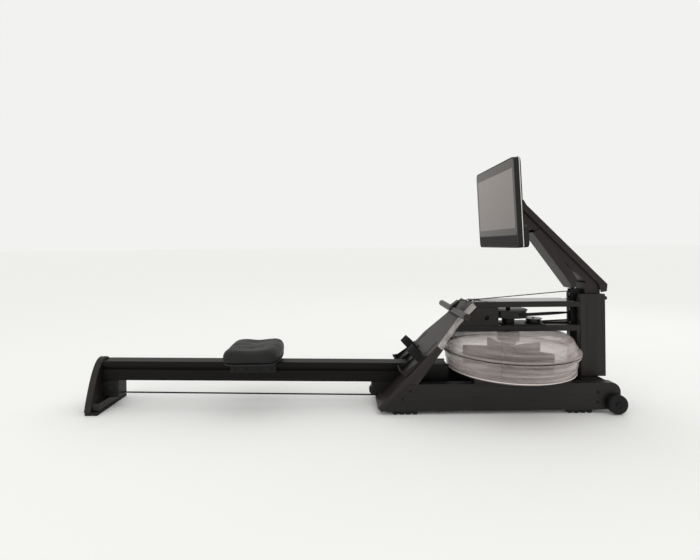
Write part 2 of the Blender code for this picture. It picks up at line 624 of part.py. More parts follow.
# Drive bearing and spool mount: one casting on the lower struts
plate_base = STRUT_LOW_TOP + GAP
spine_outer = SPINE_GAP / 2 + SPINE_PLATE
mount_plate = block((TANK_STATION - 0.040, -spine_outer + 0.002, plate_base),
                    (SPOOL_STATION + 0.030, spine_outer - 0.002, plate_base + 0.003))
drive_mount = add("drive_mount", mount_plate, BLACK_STEEL)
join(drive_mount, rod(BEARING_RADIUS, TANK_TOP + 0.001, DRUM_LOW - 0.001, tank))
spool_centre = (SPOOL_STATION, 0, 0)
join(drive_mount, rod(PIN_RADIUS, plate_base + 0.001, SPOOL_HEIGHT + 0.012, spool_centre, sides=16))
cut(drive_mount, rod(drive_bore, TANK_TOP - 0.02, DRUM_HIGH + 0.02, tank))

drum_profile = ((drive_bore, DRUM_LOW), (DRUM_RADIUS + 0.004, DRUM_LOW),
                (DRUM_RADIUS + 0.004, DRUM_LOW + 0.003),
                (DRUM_RADIUS, DRUM_LOW + 0.003), (DRUM_RADIUS, DRUM_HIGH - 0.003),
                (DRUM_RADIUS + 0.004, DRUM_HIGH - 0.003), (DRUM_RADIUS + 0.004, DRUM_HIGH),
                (drive_bore, DRUM_HIGH))
add("drive_drum", lathe(drum_profile, tank, sides=40), PLASTIC, tank)
spool_low = SPOOL_HEIGHT - 0.0085
spool_high = SPOOL_HEIGHT + 0.0085
spool_profile = ((PIN_RADIUS + RUNNING, spool_low), (SPOOL_RADIUS + 0.006, spool_low),
                 (SPOOL_RADIUS + 0.006, spool_low + 0.002), (SPOOL_RADIUS, spool_low + 0.002),
                 (SPOOL_RADIUS, spool_high - 0.002), (SPOOL_RADIUS + 0.006, spool_high - 0.002),
                 (SPOOL_RADIUS + 0.006, spool_high), (PIN_RADIUS + RUNNING, spool_high))
add("bungee_spool", lathe(spool_profile, spool_centre), PLASTIC, spool_centre)

# Spine: two plates on edge over the tank, from the footboard back to two posts
guide = (GUIDE_STATION, 0, GUIDE_HEIGHT)
strut_end = POST_START - GAP
for side, sign in (("right", -1), ("left", 1)):
    inner, outer = sorted((sign * SPINE_GAP / 2, sign * spine_outer))
    for level, low, high in (("top", STRUT_HIGH_BOTTOM, STRUT_HIGH_TOP),
                             ("lower", STRUT_LOW_BOTTOM, STRUT_LOW_TOP)):
        strut_outline = [(behind_board(low), low), (strut_end, low), (strut_end, high),
                         (behind_board(high), high)]
        strut = add(f"{side}_{level}_strut", prism(strut_outline, inner, outer), WOOD)
        if level == "top":
            cut(strut, rod(PIN_RADIUS + RUNNING, -0.02, 0.02, (guide[0], sign * SPINE_GAP / 2, guide[2]),
                           "Y", 16))
    post = add(f"{side}_post", block((POST_START, inner, BEAM_TOP + GAP), (POST_END, outer, POST_TOP)),
               WOOD)
    join(post, rod(0.008, POST_END - 0.002, POST_END + 0.011, (0, sign * (spine_outer - 0.012), 0.446),
                   "X", 16))
block_low = STRUT_LOW_TOP + GAP
block_high = STRUT_HIGH_BOTTOM - GAP
block_outline = [(behind_board(block_low), block_low), (BLOCK_END, block_low),
                 (BLOCK_END, block_high), (behind_board(block_high), block_high)]
spine_block = add("spine_block", prism(block_outline, -spine_outer, spine_outer), WOOD)
cut(spine_block, rod(BLOCK_HOLE_RADIUS, -0.1, 0.1, (BLOCK_HOLE_STATION, 0, BLOCK_HOLE_HEIGHT), "Y"))
cut(spine_block, rod(DRUM_RADIUS + 0.007, block_low - 0.01, block_high + 0.01, tank, sides=48))
cut(spine_block, block((0.3, -0.022, GUIDE_HEIGHT - GUIDE_RADIUS - 0.002),
                       (GUIDE_STATION + 0.02, 0.022, 0.5)))
deck_low = STRUT_HIGH_TOP + GAP
deck = add("top_deck", block((DECK_START, -spine_outer, deck_low),
                             (DECK_END, spine_outer, deck_low + DECK_THICKNESS)), PLASTIC)
cut(deck, block((DECK_START - 0.01, -0.024, deck_low - 0.01),
                (GUIDE_STATION + GUIDE_RADIUS + 0.002, 0.024, 0.5)))
rear_beam_low = (REAR_BEAM_START, -beam_inner + GAP, REAR_BEAM_BOTTOM)
rear_beam_end = WHEEL_STATION - WHEEL_STUB_RADIUS - 0.010
rear_beam = add("rear_cross_beam", block(rear_beam_low, (rear_beam_end, beam_inner - GAP, BEAM_TOP)), WOOD)

# Strap and bungee path: pulleys between the posts, a pulley under them and a guide at the board's top
strap_offset = GAP + STRAP_THICKNESS / 2
strap_run = PULLEY_RADIUS + strap_offset
cord_run = PULLEY_RADIUS - 0.001 + CORD_RADIUS + GAP
cord_pulley_height = SPOOL_HEIGHT - cord_run
bottom_pulley_height = CORD_LOW_HEIGHT + cord_run
half_pulley = PULLEY_WIDTH / 2
pulley_slot = half_pulley + 0.0012
well_high = bottom_pulley_height + PULLEY_RADIUS + PULLEY_RIM + 0.004
well_back = PULLEY_STATION + cord_run + CORD_RADIUS + 0.003
cut(rear_beam, block((0.80, -pulley_slot, 0), (well_back, pulley_slot, well_high)))
cut(rear_beam, rod(CORD_RADIUS + 0.002, 0.03, 0.20, (PULLEY_STATION + cord_run, 0, 0), sides=16))
join(rear_beam, rod(PIN_RADIUS, -pulley_slot - 0.005, pulley_slot + 0.005,
                    (PULLEY_STATION, 0, bottom_pulley_height), "Y", 16))

bracket_back = PULLEY_STATION + 0.031
bracket_front = PULLEY_STATION - 0.013
bracket_side = half_pulley + 0.001
bracket_outer = bracket_side + BRACKET_CHEEK
pulley_bracket = add("pulley_bracket", block((bracket_front, -bracket_outer, 0.318),
                                             (bracket_back, bracket_outer, 0.482)), BLACK_STEEL)
cut(pulley_bracket, block((0.8, -bracket_side, 0.30), (bracket_back - BRACKET_CHEEK, bracket_side, 0.50)))
cut(pulley_bracket, block((0.8, -0.05, 0.4145), (PULLEY_STATION + 0.012, 0.05, 0.4400)))
for height in (TOP_PULLEY_HEIGHT, LOW_PULLEY_HEIGHT, cord_pulley_height):
    join(pulley_bracket, rod(PIN_RADIUS, -bracket_side - 0.0013, bracket_side + 0.0013,
                             (PULLEY_STATION, 0, height), "Y", 14))


def pulley(name, height, groove):
    """A flanged pulley on a fixed pin, its groove this far under the strap's own radius."""
    bore = PIN_RADIUS + RUNNING
    radius = PULLEY_RADIUS - groove
    rim = PULLEY_RADIUS + PULLEY_RIM
    profile = ((bore, -half_pulley), (rim, -half_pulley), (rim, 0.002 - half_pulley),
               (radius, 0.002 - half_pulley),
               (radius, half_pulley - 0.002), (rim, half_pulley - 0.002), (rim, half_pulley), (bore,
                   half_pulley))
    centre = (PULLEY_STATION, 0, height)
    add(name, lathe(profile, centre, "Y", 20), PLASTIC, centre)


pulley("strap_top_pulley", TOP_PULLEY_HEIGHT, 0.0)
pulley("strap_lower_pulley", LOW_PULLEY_HEIGHT, 0.0)
pulley("bungee_top_pulley", cord_pulley_height, 0.001)
pulley("bungee_bottom_pulley", bottom_pulley_height, 0.001)

guide_half = 0.020
stub_half = SPINE_GAP / 2 + 0.014
guide_profile = ((0, -stub_half), (PIN_RADIUS, -stub_half), (PIN_RADIUS, -guide_half),
                 (GUIDE_RADIUS, -guide_half),
                 (GUIDE_RADIUS, guide_half), (PIN_RADIUS, guide_half), (PIN_RADIUS, stub_half), (0,
                     stub_half))
add("strap_guide_roller", lathe(guide_profile, guide, "Y", 32), STEEL, guide)

# Handle: a round bar lying on the footboard, and the yoke that ties it to the strap
handle_point = board_point(HANDLE_ON_BOARD, HANDLE_RADIUS + GAP)
handle = (handle_point[0], 0, handle_point[1])
half_bar = HANDLE_LENGTH / 2
bar_profile = ((0, -half_bar), (HANDLE_RADIUS - 0.003, -half_bar), (HANDLE_RADIUS, 0.003 - half_bar),
               (HANDLE_RADIUS, half_bar - 0.003), (HANDLE_RADIUS - 0.003, half_bar), (0, half_bar))
add("handle_bar", lathe(bar_profile, handle, "Y", 28), WOOD, handle)
yoke_low = HANDLE_RADIUS + 0.0025
yoke_end = HANDLE_ON_BOARD + 0.044
yoke_outline = [(HANDLE_ON_BOARD - 0.012, yoke_low), (HANDLE_ON_BOARD - 0.012, 0.0315),
                (HANDLE_ON_BOARD + 0.012, 0.0330), (yoke_end, 0.0275), (yoke_end, 0.0205),
                (HANDLE_ON_BOARD + 0.018, yoke_low)]
yoke = add("handle_yoke", on_board(prism(yoke_outline, -YOKE_WIDTH / 2, YOKE_WIDTH / 2)), BLACK_STEEL,
           handle)
cut(yoke, rod(HANDLE_RADIUS + GAP, -0.05, 0.05, handle, "Y", 28))


def band(points, width, thickness):
    """A flat strap through points (centre, direction of its width)."""
    form = bmesh.new()
    sections = []
    for i, (centre, across) in enumerate(points):
        before = Vector(points[max(i - 1, 0)][0])
        after = Vector(points[min(i + 1, len(points) - 1)][0])
        across = Vector(across).normalized()
        normal = (after - before).cross(across).normalized()
        corners = []
        for u, v in ((-1, -1), (1, -1), (1, 1), (-1, 1)):
            spot = Vector(centre) + across * u * width / 2 + normal * v * thickness / 2
            corners.append(form.verts.new(spot))
        sections.append(corners)
    form.faces.new(sections[0])
    form.faces.new(sections[-1])
    for first, second in zip(sections, sections[1:]):
        for i in range(4):
            j = (i + 1) % 4
            form.faces.new((first[i], first[j], second[j], second[i]))
    bmesh.ops.recalc_face_normals(form, faces=form.faces)
    return form


def wrap_point(centre, radius, reach):
    """Where a line from a point on the +X side, this far away, touches a drum on its right side."""
    turn = math.asin(radius / reach)
    return centre + radius * math.sin(turn), -radius * math.cos(turn)


strap_start = board_point(yoke_end + 0.0015, 0.024)
across_y = (0, 1, 0)
strap_points = [((strap_start[0], 0, strap_start[1]), across_y)]
guide_run = GUIDE_RADIUS + strap_offset
for x, z in arc((guide[0], guide[2]), guide_run, 94.6, 94.0, 1):
    strap_points.append(((x, 0, z), across_y))
for x, z in arc((PULLEY_STATION, TOP_PULLEY_HEIGHT), strap_run, 94, 0, 6):
    strap_points.append(((x, 0, z), across_y))
for x, z in arc((PULLEY_STATION, LOW_PULLEY_HEIGHT), strap_run, 0, -90, 6):
    strap_points.append(((x, 0, z), across_y))
drum_x, drum_y = wrap_point(TANK_STATION, DRUM_RADIUS + strap_offset + 0.0005,
                            PULLEY_STATION - TANK_STATION)
strap_leave = Vector((PULLEY_STATION, 0, LOW_PULLEY_HEIGHT - strap_run))
strap_wrap = Vector((drum_x, drum_y, (DRUM_LOW + DRUM_HIGH) / 2))
for i in range(1, 11):
    share = i / 10
    turn = math.radians(90) * min(1.0, share * 1.6)
    along = (strap_wrap - strap_leave).normalized()
    sideways = Vector((0, 0, 1)).cross(along).normalized()
    if sideways.y < 0:
        sideways.negate()
    across = sideways * math.cos(turn) + Vector((0, 0, 1)) * math.sin(turn)
    strap_points.append((tuple(strap_leave.lerp(strap_wrap, share)), tuple(across)))
add("handle_strap", band(strap_points, STRAP_WIDTH, STRAP_THICKNESS), WEBBING)

# Bungee: one cord from the rear clip, under the rail and the tank, up to the spool
cord_points = [(support_end + GAP, 0, CORD_REAR_HEIGHT)]
cord_under = CORD_ROLLER_RADIUS + CORD_RADIUS + GAP
for x, z in arc((CORD_ROLLER_STATION, roller_centre[2]), cord_under, -91.5, -90, 1):
    cord_points.append((x, 0, z))
for x, z in arc((PULLEY_STATION, bottom_pulley_height), cord_run, -90, 0, 6):
    cord_points.append((x, 0, z))
for x, z in arc((PULLEY_STATION, cord_pulley_height), cord_run, 0, 90, 6):
    cord_points.append((x, 0, z))
spool_run = SPOOL_RADIUS + CORD_RADIUS + 0.0006
spool_x, spool_y = wrap_point(SPOOL_STATION, spool_run, PULLEY_STATION - SPOOL_STATION)
cord_points.append((spool_x, spool_y, SPOOL_HEIGHT))
route = bpy.data.curves.new("bungee_cord", "CURVE")
route.dimensions = "3D"
route.bevel_depth = CORD_RADIUS
route.bevel_resolution = 2
route.use_fill_caps = True
spline = route.splines.new("POLY")
spline.points.add(len(cord_points) - 1)
for spot, point in zip(spline.points, cord_points):
    spot.co = (*point, 1.0)
route.materials.append(RUBBER)
bungee = bpy.data.objects.new("bungee_cord", route)
bpy.context.scene.collection.objects.link(bungee)
bungee.parent = machine

# Arm: a welded core with an outer channel over it and a second channel under it, bolted to the posts
top_line = ((0.978, 0.504), (0.642, 0.8393))
front_line = ((0.8390, 0.4845), (0.6650, 0.7247))


def beside(line, share, depth):
    """A point on a line, moved sideways to its lower left by a depth."""
    start, end = Vector(line[0]), Vector(line[1])
    along = (end - start).normalized()
    spot = start.lerp(end, share) + Vector((-along.y, along.x)) * depth
    return spot.x, spot.y


arm_half = ARM_WIDTH / 2
core_half = ARM_CORE_WIDTH / 2
upper_outline = [beside(top_line, 0, 0), beside(top_line, 1, 0), (0.628, 0.8626),
                 (0.622, 0.8400), beside(top_line, 1, UPPER_ARM_DEPTH), beside(top_line, 0.06,
                                                                               UPPER_ARM_DEPTH),
                 (0.950, 0.4700), (0.9745, 0.4735)]
upper_arm = add("arm_upper_channel", prism(upper_outline, -arm_half, arm_half), BLACK_STEEL)
hollow_top = ARM_SHEET
upper_hollow = [beside(top_line, -0.2, hollow_top), beside(top_line, 1.2, hollow_top),
                beside(top_line, 1.2, 0.12), beside(top_line, -0.2, 0.12)]
cut(upper_arm, prism(upper_hollow, -arm_half + ARM_SHEET, arm_half - ARM_SHEET))

lower_outline = [beside(front_line, 0, 0), beside(front_line, 1, 0),
                 beside(front_line, 0.97, -LOWER_ARM_DEPTH), beside(front_line, 0.08, -LOWER_ARM_DEPTH)]
lower_arm = add("arm_lower_channel", prism(lower_outline, -arm_half, arm_half), BLACK_STEEL)
lower_hollow = [beside(front_line, -0.2, -ARM_SHEET), beside(front_line, 1.2, -ARM_SHEET),
                beside(front_line, 1.2, -0.10), beside(front_line, -0.2, -0.10)]
cut(lower_arm, prism(lower_hollow, -arm_half + ARM_SHEET, arm_half - ARM_SHEET))

core_top = ARM_SHEET + GAP
core_outline = [(0.953, ARM_BASE_TOP - 0.002), beside(top_line, 0.12, 0.056),
                beside(top_line, 0.50, 0.056),
                beside(top_line, 0.745, 0.056), (0.672, 0.735), (0.625, 0.745), (0.597, 0.762), (0.597,
                                                                                                 0.790),
                (0.610, 0.812), beside(top_line, 0.98, 0.020), beside(top_line, 0.96, core_top),
                beside(top_line, 0.03, core_top)]
arm_core = add("arm_core", prism(core_outline, -core_half, core_half), BLACK_STEEL)
base_start = bracket_back + 0.002
join(arm_core, block((base_start, -core_half, POST_TOP + GAP),
                     (POST_END - 0.010, core_half, ARM_BASE_TOP + 0.010)))
tilt = (TILT_STATION, 0, TILT_HEIGHT)
ear_low = core_half + GAP
ear_high = ear_low + ARM_SHEET
join(arm_core, rod(TILT_PIN_RADIUS, -ear_high - 0.002, ear_high + 0.002, tilt, "Y", 20))


# Display: a wide housing with a deeper chin, its glass let into the front, on a tilting bracket
def on_display(form):
    """Takes a form from the display's own frame, X back into it and Z up its face, to the machine's."""
    turn = Matrix.Rotation(-DISPLAY_TILT, 4, "Y")
    spot = Matrix.Translation((DISPLAY_FOOT[0], 0, DISPLAY_FOOT[1]))
    bmesh.ops.transform(form, matrix=spot @ turn, verts=form.verts)
    return form


def rounded(half_width, low, high, corner, steps=4):
    """A rounded rectangle (y, z), level with the ground line at low."""
    right, left = half_width - corner, corner - half_width
    return (arc((right, low + corner), corner, -90, 0, steps) + arc((right, high - corner), corner, 0,
                                                                    90, steps)
            + arc((left, high - corner), corner, 90, 180, steps) + arc((left, low + corner), corner, 180,
                                                                       270, steps))


half_display = DISPLAY_WIDTH / 2
housing = add("display_housing", on_display(prism(
    rounded(half_display, 0, DISPLAY_HEIGHT, DISPLAY_CORNER), 0, DISPLAY_DEPTH, "X")), PLASTIC, tilt)
join(housing, on_display(prism(
    rounded(half_display - 0.0005, 0.0005, DISPLAY_CHIN_HEIGHT,
            DISPLAY_CORNER), 0.010, DISPLAY_CHIN_DEPTH, "X")))
glass_half = half_display - GLASS_MARGIN
glass_top = DISPLAY_HEIGHT - GLASS_MARGIN
glass_corner = DISPLAY_CORNER - GLASS_MARGIN
cut(housing, on_display(prism(
    rounded(glass_half + GAP, GLASS_BOTTOM - GAP, glass_top + GAP,
            glass_corner), -0.01, GLASS_THICKNESS + GAP, "X")))
add("display_glass", on_display(prism(
    rounded(glass_half, GLASS_BOTTOM, glass_top, glass_corner), 0, GLASS_THICKNESS, "X")), GLASS, tilt)

back = DISPLAY_DEPTH + GAP
tilt_local = Matrix.Rotation(DISPLAY_TILT, 4, "Y") @ Vector((TILT_STATION - DISPLAY_FOOT[0], 0,
                                                            TILT_HEIGHT - DISPLAY_FOOT[1]))
ear_plate = [(back, tilt_local.z - 0.018), (tilt_local.x - 0.004, tilt_local.z - 0.016),
             *arc((tilt_local.x, tilt_local.z), 0.016, -75, 75, 6),
             (tilt_local.x - 0.004, tilt_local.z + 0.016), (back, tilt_local.z + 0.050)]
bracket = add("display_bracket", on_display(prism(ear_plate, -ear_high, ear_high)), BLACK_STEEL, tilt)
cut(bracket, on_display(block((back + 0.0035, -ear_low, 0), (0.2, ear_low, DISPLAY_HEIGHT))))
cut(bracket, rod(TILT_PIN_RADIUS + RUNNING, -0.08, 0.08, tilt, "Y", 20))

# The machine's origin: the middle of its box, on the floor
bpy.context.view_layer.update()
shapes = bpy.context.evaluated_depsgraph_get()
stations = []
for piece in bpy.context.scene.objects:
    if piece.type == "MESH" and not piece.hide_render:
        evaluated = piece.evaluated_get(shapes)
        stations += [(evaluated.matrix_world @ vertex.co).x for vertex in evaluated.data.vertices]
machine.location.x = -(min(stations) + max(stations)) / 2
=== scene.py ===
import json
import math

import bmesh
import bpy
from mathutils import Matrix, Vector


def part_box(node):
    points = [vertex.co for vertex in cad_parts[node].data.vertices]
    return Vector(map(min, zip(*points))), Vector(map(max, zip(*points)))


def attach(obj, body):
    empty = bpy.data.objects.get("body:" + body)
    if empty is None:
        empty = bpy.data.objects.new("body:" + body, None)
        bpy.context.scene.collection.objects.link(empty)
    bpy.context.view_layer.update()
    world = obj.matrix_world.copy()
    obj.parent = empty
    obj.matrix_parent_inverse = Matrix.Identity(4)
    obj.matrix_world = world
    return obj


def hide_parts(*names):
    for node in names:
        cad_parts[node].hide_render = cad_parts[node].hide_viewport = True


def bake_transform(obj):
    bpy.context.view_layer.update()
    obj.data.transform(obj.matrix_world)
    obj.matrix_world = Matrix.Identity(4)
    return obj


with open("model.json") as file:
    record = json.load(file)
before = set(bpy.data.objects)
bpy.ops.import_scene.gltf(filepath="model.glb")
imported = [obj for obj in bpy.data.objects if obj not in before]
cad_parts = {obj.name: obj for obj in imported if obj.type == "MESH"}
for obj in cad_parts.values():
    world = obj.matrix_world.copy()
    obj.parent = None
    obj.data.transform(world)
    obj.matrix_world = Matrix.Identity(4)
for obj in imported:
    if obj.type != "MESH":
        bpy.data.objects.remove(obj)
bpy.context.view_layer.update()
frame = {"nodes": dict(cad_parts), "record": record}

# Camera: a wide lens square to the machine's side, standing a little higher than the footboard,
# so the tank and the rail are seen just from above and the display from slightly below.
camera_data = bpy.data.cameras.new("camera")
camera_data.sensor_width = 36
camera_data.lens = 21.86
camera_data.shift_x = 0.0093
camera_data.shift_y = -0.05
camera = bpy.data.objects.new("camera", camera_data)
camera_turn = Matrix.Rotation(math.radians(90), 4, "X") @ Matrix.Rotation(math.radians(-0.57), 4, "Z")
camera.matrix_world = Matrix.Translation((-0.0291, -1.83, 0.679)) @ camera_turn
bpy.context.scene.collection.objects.link(camera)
bpy.context.scene.camera = camera
bpy.context.scene.view_settings.view_transform = "Standard"


# Studio: a flat, matt white floor under an even pale sky, with three large soft lamps. The light
# comes from all round, so the machine reads as a dark shape with low, broad highlights.
def srgb(code):
    """A hex colour as linear red, green and blue."""
    parts = [int(code[i:i + 2], 16) / 255 for i in (1, 3, 5)]
    return tuple(p / 12.92 if p <= 0.04045 else ((p + 0.055) / 1.055) ** 2.4 for p in parts)


def add_node(tree, kind, settings=(), links=()):
    """Adds a node, sets its inputs or properties by name, and links sockets into it."""
    made = tree.nodes.new(kind)
    for key, value in settings:
        if isinstance(key, int) or key in made.inputs:
            made.inputs[key].default_value = value
        else:
            setattr(made, key, value)
    for key, source in links:
        tree.links.new(source, made.inputs[key])
    return made


def new_finish(name, colour, roughness, metallic=0.0, specular=0.30):
    """A Principled material, and its tree and shader to build on."""
    made = bpy.data.materials.new(name)
    made.use_nodes = True
    shader = made.node_tree.nodes["Principled BSDF"]
    shader.inputs["Base Color"].default_value = (*srgb(colour), 1)
    shader.inputs["Roughness"].default_value = roughness
    shader.inputs["Metallic"].default_value = metallic
    shader.inputs["Specular IOR Level"].default_value = specular
    return made, made.node_tree, shader


def show(name, mesh, finish):
    """Puts a mesh in the scene with its finish."""
    made = bpy.data.objects.new(name, mesh)
    bpy.context.scene.collection.objects.link(made)
    mesh.materials.clear()
    mesh.materials.append(finish)
    return made


# Matt emulsion has no gloss, so the floor gives only a soft shadow where the feet stand.
white_paint, paint_tree, paint = new_finish("matt white floor paint", "#FCFCFB", 0.95)
grain = add_node(paint_tree, "ShaderNodeTexNoise", (("Scale", 3.0), ("Detail", 2.0)))
paint_colour = add_node(paint_tree, "ShaderNodeMixRGB", (("Color1", (*srgb("#FBFBFA"), 1)),
                        ("Color2", (*srgb("#FDFDFC"), 1))), ((0, grain.outputs["Fac"]),))
paint_tree.links.new(paint_colour.outputs[0], paint.inputs["Base Color"])
floor_form = bmesh.new()
bmesh.ops.create_grid(floor_form, x_segments=8, y_segments=8, size=90.0)
floor_mesh = bpy.data.meshes.new("studio_floor")
floor_form.to_mesh(floor_mesh)
floor_form.free()
studio_floor = show("studio_floor", floor_mesh, white_paint)
studio_floor.location.z = -0.0005
world = bpy.data.worlds.new("studio")
world.use_nodes = True
world.node_tree.nodes["Background"].inputs["Color"].default_value = (*srgb("#F2F2F0"), 1)
world.node_tree.nodes["Background"].inputs["Strength"].default_value = 1.0
bpy.context.scene.world = world
machine_middle = Vector((0.1, 0, 0.3))
for name, place, size, power in (("overhead", (-0.2, -0.6, 3.2), 3.4, 6.0),
                                 ("front_left", (-2.4, -3.0, 1.9), 1.8, 5.0),
                                 ("rear_right", (2.6, 1.8, 2.2), 1.6, 5.0)):
    lamp = bpy.data.lights.new(name, "AREA")
    lamp.size = size
    lamp.energy = power
    lamp_object = bpy.data.objects.new(name, lamp)
    lamp_object.location = place
    lamp_object.rotation_euler = (machine_middle - Vector(place)).to_track_quat("-Z", "Y").to_euler()
    bpy.context.scene.collection.objects.link(lamp_object)


# Base beams, cross beam and cradle: ash boards, planed, stained black and sealed with satin
# lacquer. The stain leaves the open pores as fine darker streaks along each board.
def stained_ash(name, grain_turn=0.0, colour="#1C1816", streak="#0F0D0C", roughness=0.42):
    """Black-stained ash with its grain along X, turned about Y by an angle.

    Real pores are about 0.4 mm wide and wouldn't show, so they are drawn 1.1 mm wide and 80 mm long.
    """
    made, tree, shader = new_finish(name, colour, roughness)
    spot = add_node(tree, "ShaderNodeTexCoord")
    turned = add_node(tree, "ShaderNodeMapping", (("Rotation", (0, grain_turn, 0)),),
                      (("Vector", spot.outputs["Object"]),))
    drawn = add_node(tree, "ShaderNodeMapping", (("Scale", (12, 900, 900)),),
                     (("Vector", turned.outputs[0]),))
    pores = add_node(tree, "ShaderNodeTexNoise", (("Scale", 1.0), ("Detail", 5.0), ("Roughness", 0.62)),
                     (("Vector", drawn.outputs[0]),))
    wide = add_node(tree, "ShaderNodeMapping", (("Scale", (2.5, 60, 60)),), (("Vector", turned.outputs[0]),))
    bands = add_node(tree, "ShaderNodeTexNoise", (("Scale", 1.0), ("Detail", 3.0)),
                     (("Vector", wide.outputs[0]),))
    mixed = add_node(tree, "ShaderNodeMath", (("operation", "MULTIPLY"),),
                     ((0, pores.outputs["Fac"]), (1, bands.outputs["Fac"])))
    ramp = add_node(tree, "ShaderNodeValToRGB", (), ((0, mixed.outputs[0]),))
    ramp.color_ramp.elements[0].position = 0.14
    ramp.color_ramp.elements[0].color = (*srgb(streak), 1)
    ramp.color_ramp.elements[1].position = 0.34
    ramp.color_ramp.elements[1].color = (*srgb(colour), 1)
    tree.links.new(ramp.outputs["Color"], shader.inputs["Base Color"])
    gloss = add_node(tree, "ShaderNodeMapRange", (("To Min", roughness + 0.14), ("To Max", roughness - 0.06)),
                     (("Value", pores.outputs["Fac"]),))
    tree.links.new(gloss.outputs[0], shader.inputs["Roughness"])
    bump = add_node(tree, "ShaderNodeBump", (("Strength", 0.25), ("Distance", 0.0004)),
                    (("Height", pores.outputs["Fac"]),))
    tree.links.new(bump.outputs[0], shader.inputs["Normal"])
    shader.inputs["Coat Weight"].default_value = 0.06
    shader.inputs["Coat Roughness"].default_value = 0.3
    return made


def refine(node, finish, edge, steps=2, rides=True):
    """Makes a CAD node's finer twin: whole faces, rounded edges, and the real finish."""
    source = frame["nodes"][node]
    form = bmesh.new()
    form.from_mesh(source.data)
    bmesh.ops.remove_doubles(form, verts=form.verts, dist=0.00001)
    bmesh.ops.dissolve_limit(form, angle_limit=math.radians(1.0), verts=form.verts, edges=form.edges)
    mesh = bpy.data.meshes.new("fine_" + node)
    form.to_mesh(mesh)
    form.free()
    piece = show("fine_" + node, mesh, finish)
    if edge:
        bevel = piece.modifiers.new("eased edges", "BEVEL")
        bevel.width = edge
        bevel.segments = steps
        bevel.limit_method = "ANGLE"
        bevel.angle_limit = math.radians(28)
    mesh.shade_smooth()
    mesh.set_sharp_from_angle(angle=math.radians(32))
    if rides:
        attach(piece, next(name for name, nodes in body_nodes.items() if node in nodes))
    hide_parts(node)
    return piece


body_nodes = frame["record"]["behaviour"]["bodies"]
# The lacquer gives stained ash a low satin sheen, broken up by its dark pores.
ash_along = stained_ash("black-stained ash, grain along the machine")
ash_up = stained_ash("black-stained ash, grain upright", math.radians(90), "#221C1A", "#120F0E")
for node in ("right_base_beam", "left_base_beam"):
    refine(node, ash_along, 0.0018, 3)
for node in ("rear_cross_beam", "tank_cradle"):
    refine(node, ash_along, 0.0012)


# Screws and bolts: black-oxide steel socket heads with a domed edge and a hexagon recess,
# so each shows as a small ring of light with a dark middle.
def bolt_heads(name, body, places, out, radius, finish):
    """One piece holding a socket head at each place, its face looking along out."""
    form = bmesh.new()
    sides = 24
    recess = 0.45
    profile = ((recess, -0.35), (recess, 0.42), (0.80, 0.48), (0.95, 0.38), (1.0, 0.20), (1.0, -0.1))
    turn = Vector((0, 0, 1)).rotation_difference(Vector(out)).to_matrix().to_4x4()
    for place in places:
        rings = []
        for share, rise in profile:
            ring = []
            for i in range(sides):
                angle = math.tau * i / sides
                reach = radius * share
                if share == recess:
                    reach /= math.cos((angle % (math.pi / 3)) - math.pi / 6) * 1.12
                spot = turn @ Vector((reach * math.cos(angle), reach * math.sin(angle), rise * radius))
                ring.append(form.verts.new(spot + Vector(place)))
            rings.append(ring)
        for first, second in zip(rings, rings[1:]):
            for i in range(len(first)):
                j = (i + 1) % len(first)
                form.faces.new((first[i], second[i], second[j], first[j]))
        form.faces.new(rings[0])
        form.faces.new(list(reversed(rings[-1])))
    bmesh.ops.recalc_face_normals(form, faces=form.faces)
    mesh = bpy.data.meshes.new(name)
    form.to_mesh(mesh)
    form.free()
    mesh.shade_smooth()
    mesh.set_sharp_from_angle(angle=math.radians(40))
    piece = show(name, mesh, finish)
    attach(piece, body)


def fine_noise_finish(name, colour, roughness, metallic, grit_mm, depth_mm, strength=0.35):
    """A coated, moulded or turned surface whose grit is this many millimetres across.

    Real grit is mostly under 0.2 mm and wouldn't show, so each finish draws it a few times coarser.
    """
    made, tree, shader = new_finish(name, colour, roughness, metallic)
    spot = add_node(tree, "ShaderNodeTexCoord")
    grit = add_node(tree, "ShaderNodeTexNoise", (("Scale", 1000 / grit_mm), ("Detail", 2.0)),
                    (("Vector", spot.outputs["Object"]),))
    patch = add_node(tree, "ShaderNodeTexNoise", (("Scale", 9.0), ("Detail", 3.0)),
                     (("Vector", spot.outputs["Object"]),))
    gloss = add_node(tree, "ShaderNodeMapRange", (("To Min", roughness - 0.05), ("To Max", roughness + 0.09)),
                     (("Value", patch.outputs["Fac"]),))
    tree.links.new(gloss.outputs[0], shader.inputs["Roughness"])
    shade = add_node(tree, "ShaderNodeMixRGB", (("Color1", (*[c * 0.82 for c in srgb(colour)], 1)),
                     ("Color2", (*[c * 1.18 for c in srgb(colour)], 1))), ((0, patch.outputs["Fac"]),))
    tree.links.new(shade.outputs[0], shader.inputs["Base Color"])
    bump = add_node(tree, "ShaderNodeBump", (("Strength", strength), ("Distance", depth_mm / 1000)),
                    (("Height", grit.outputs["Fac"]),))
    tree.links.new(bump.outputs[0], shader.inputs["Normal"])
    return made


# Black oxide is a thin oiled layer, so the steel still glints at its edges.
black_oxide = fine_noise_finish("black oxide steel", "#1C1B1B", 0.32, 0.7, 0.6, 0.03)
beam_outer_face = -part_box("right_base_beam")[0].y
screw_head = 0.0048
for side, sign in (("right", -1), ("left", 1)):
    places = [(x, sign * beam_outer_face, z)
              for x, z in ((0.2309, 0.0935), (0.2009, 0.062), (0.9779, 0.084), (0.9759, 0.043))]
    bolt_heads(f"{side}_beam_screws", "frame", places, (0, sign, 0), screw_head, black_oxide)

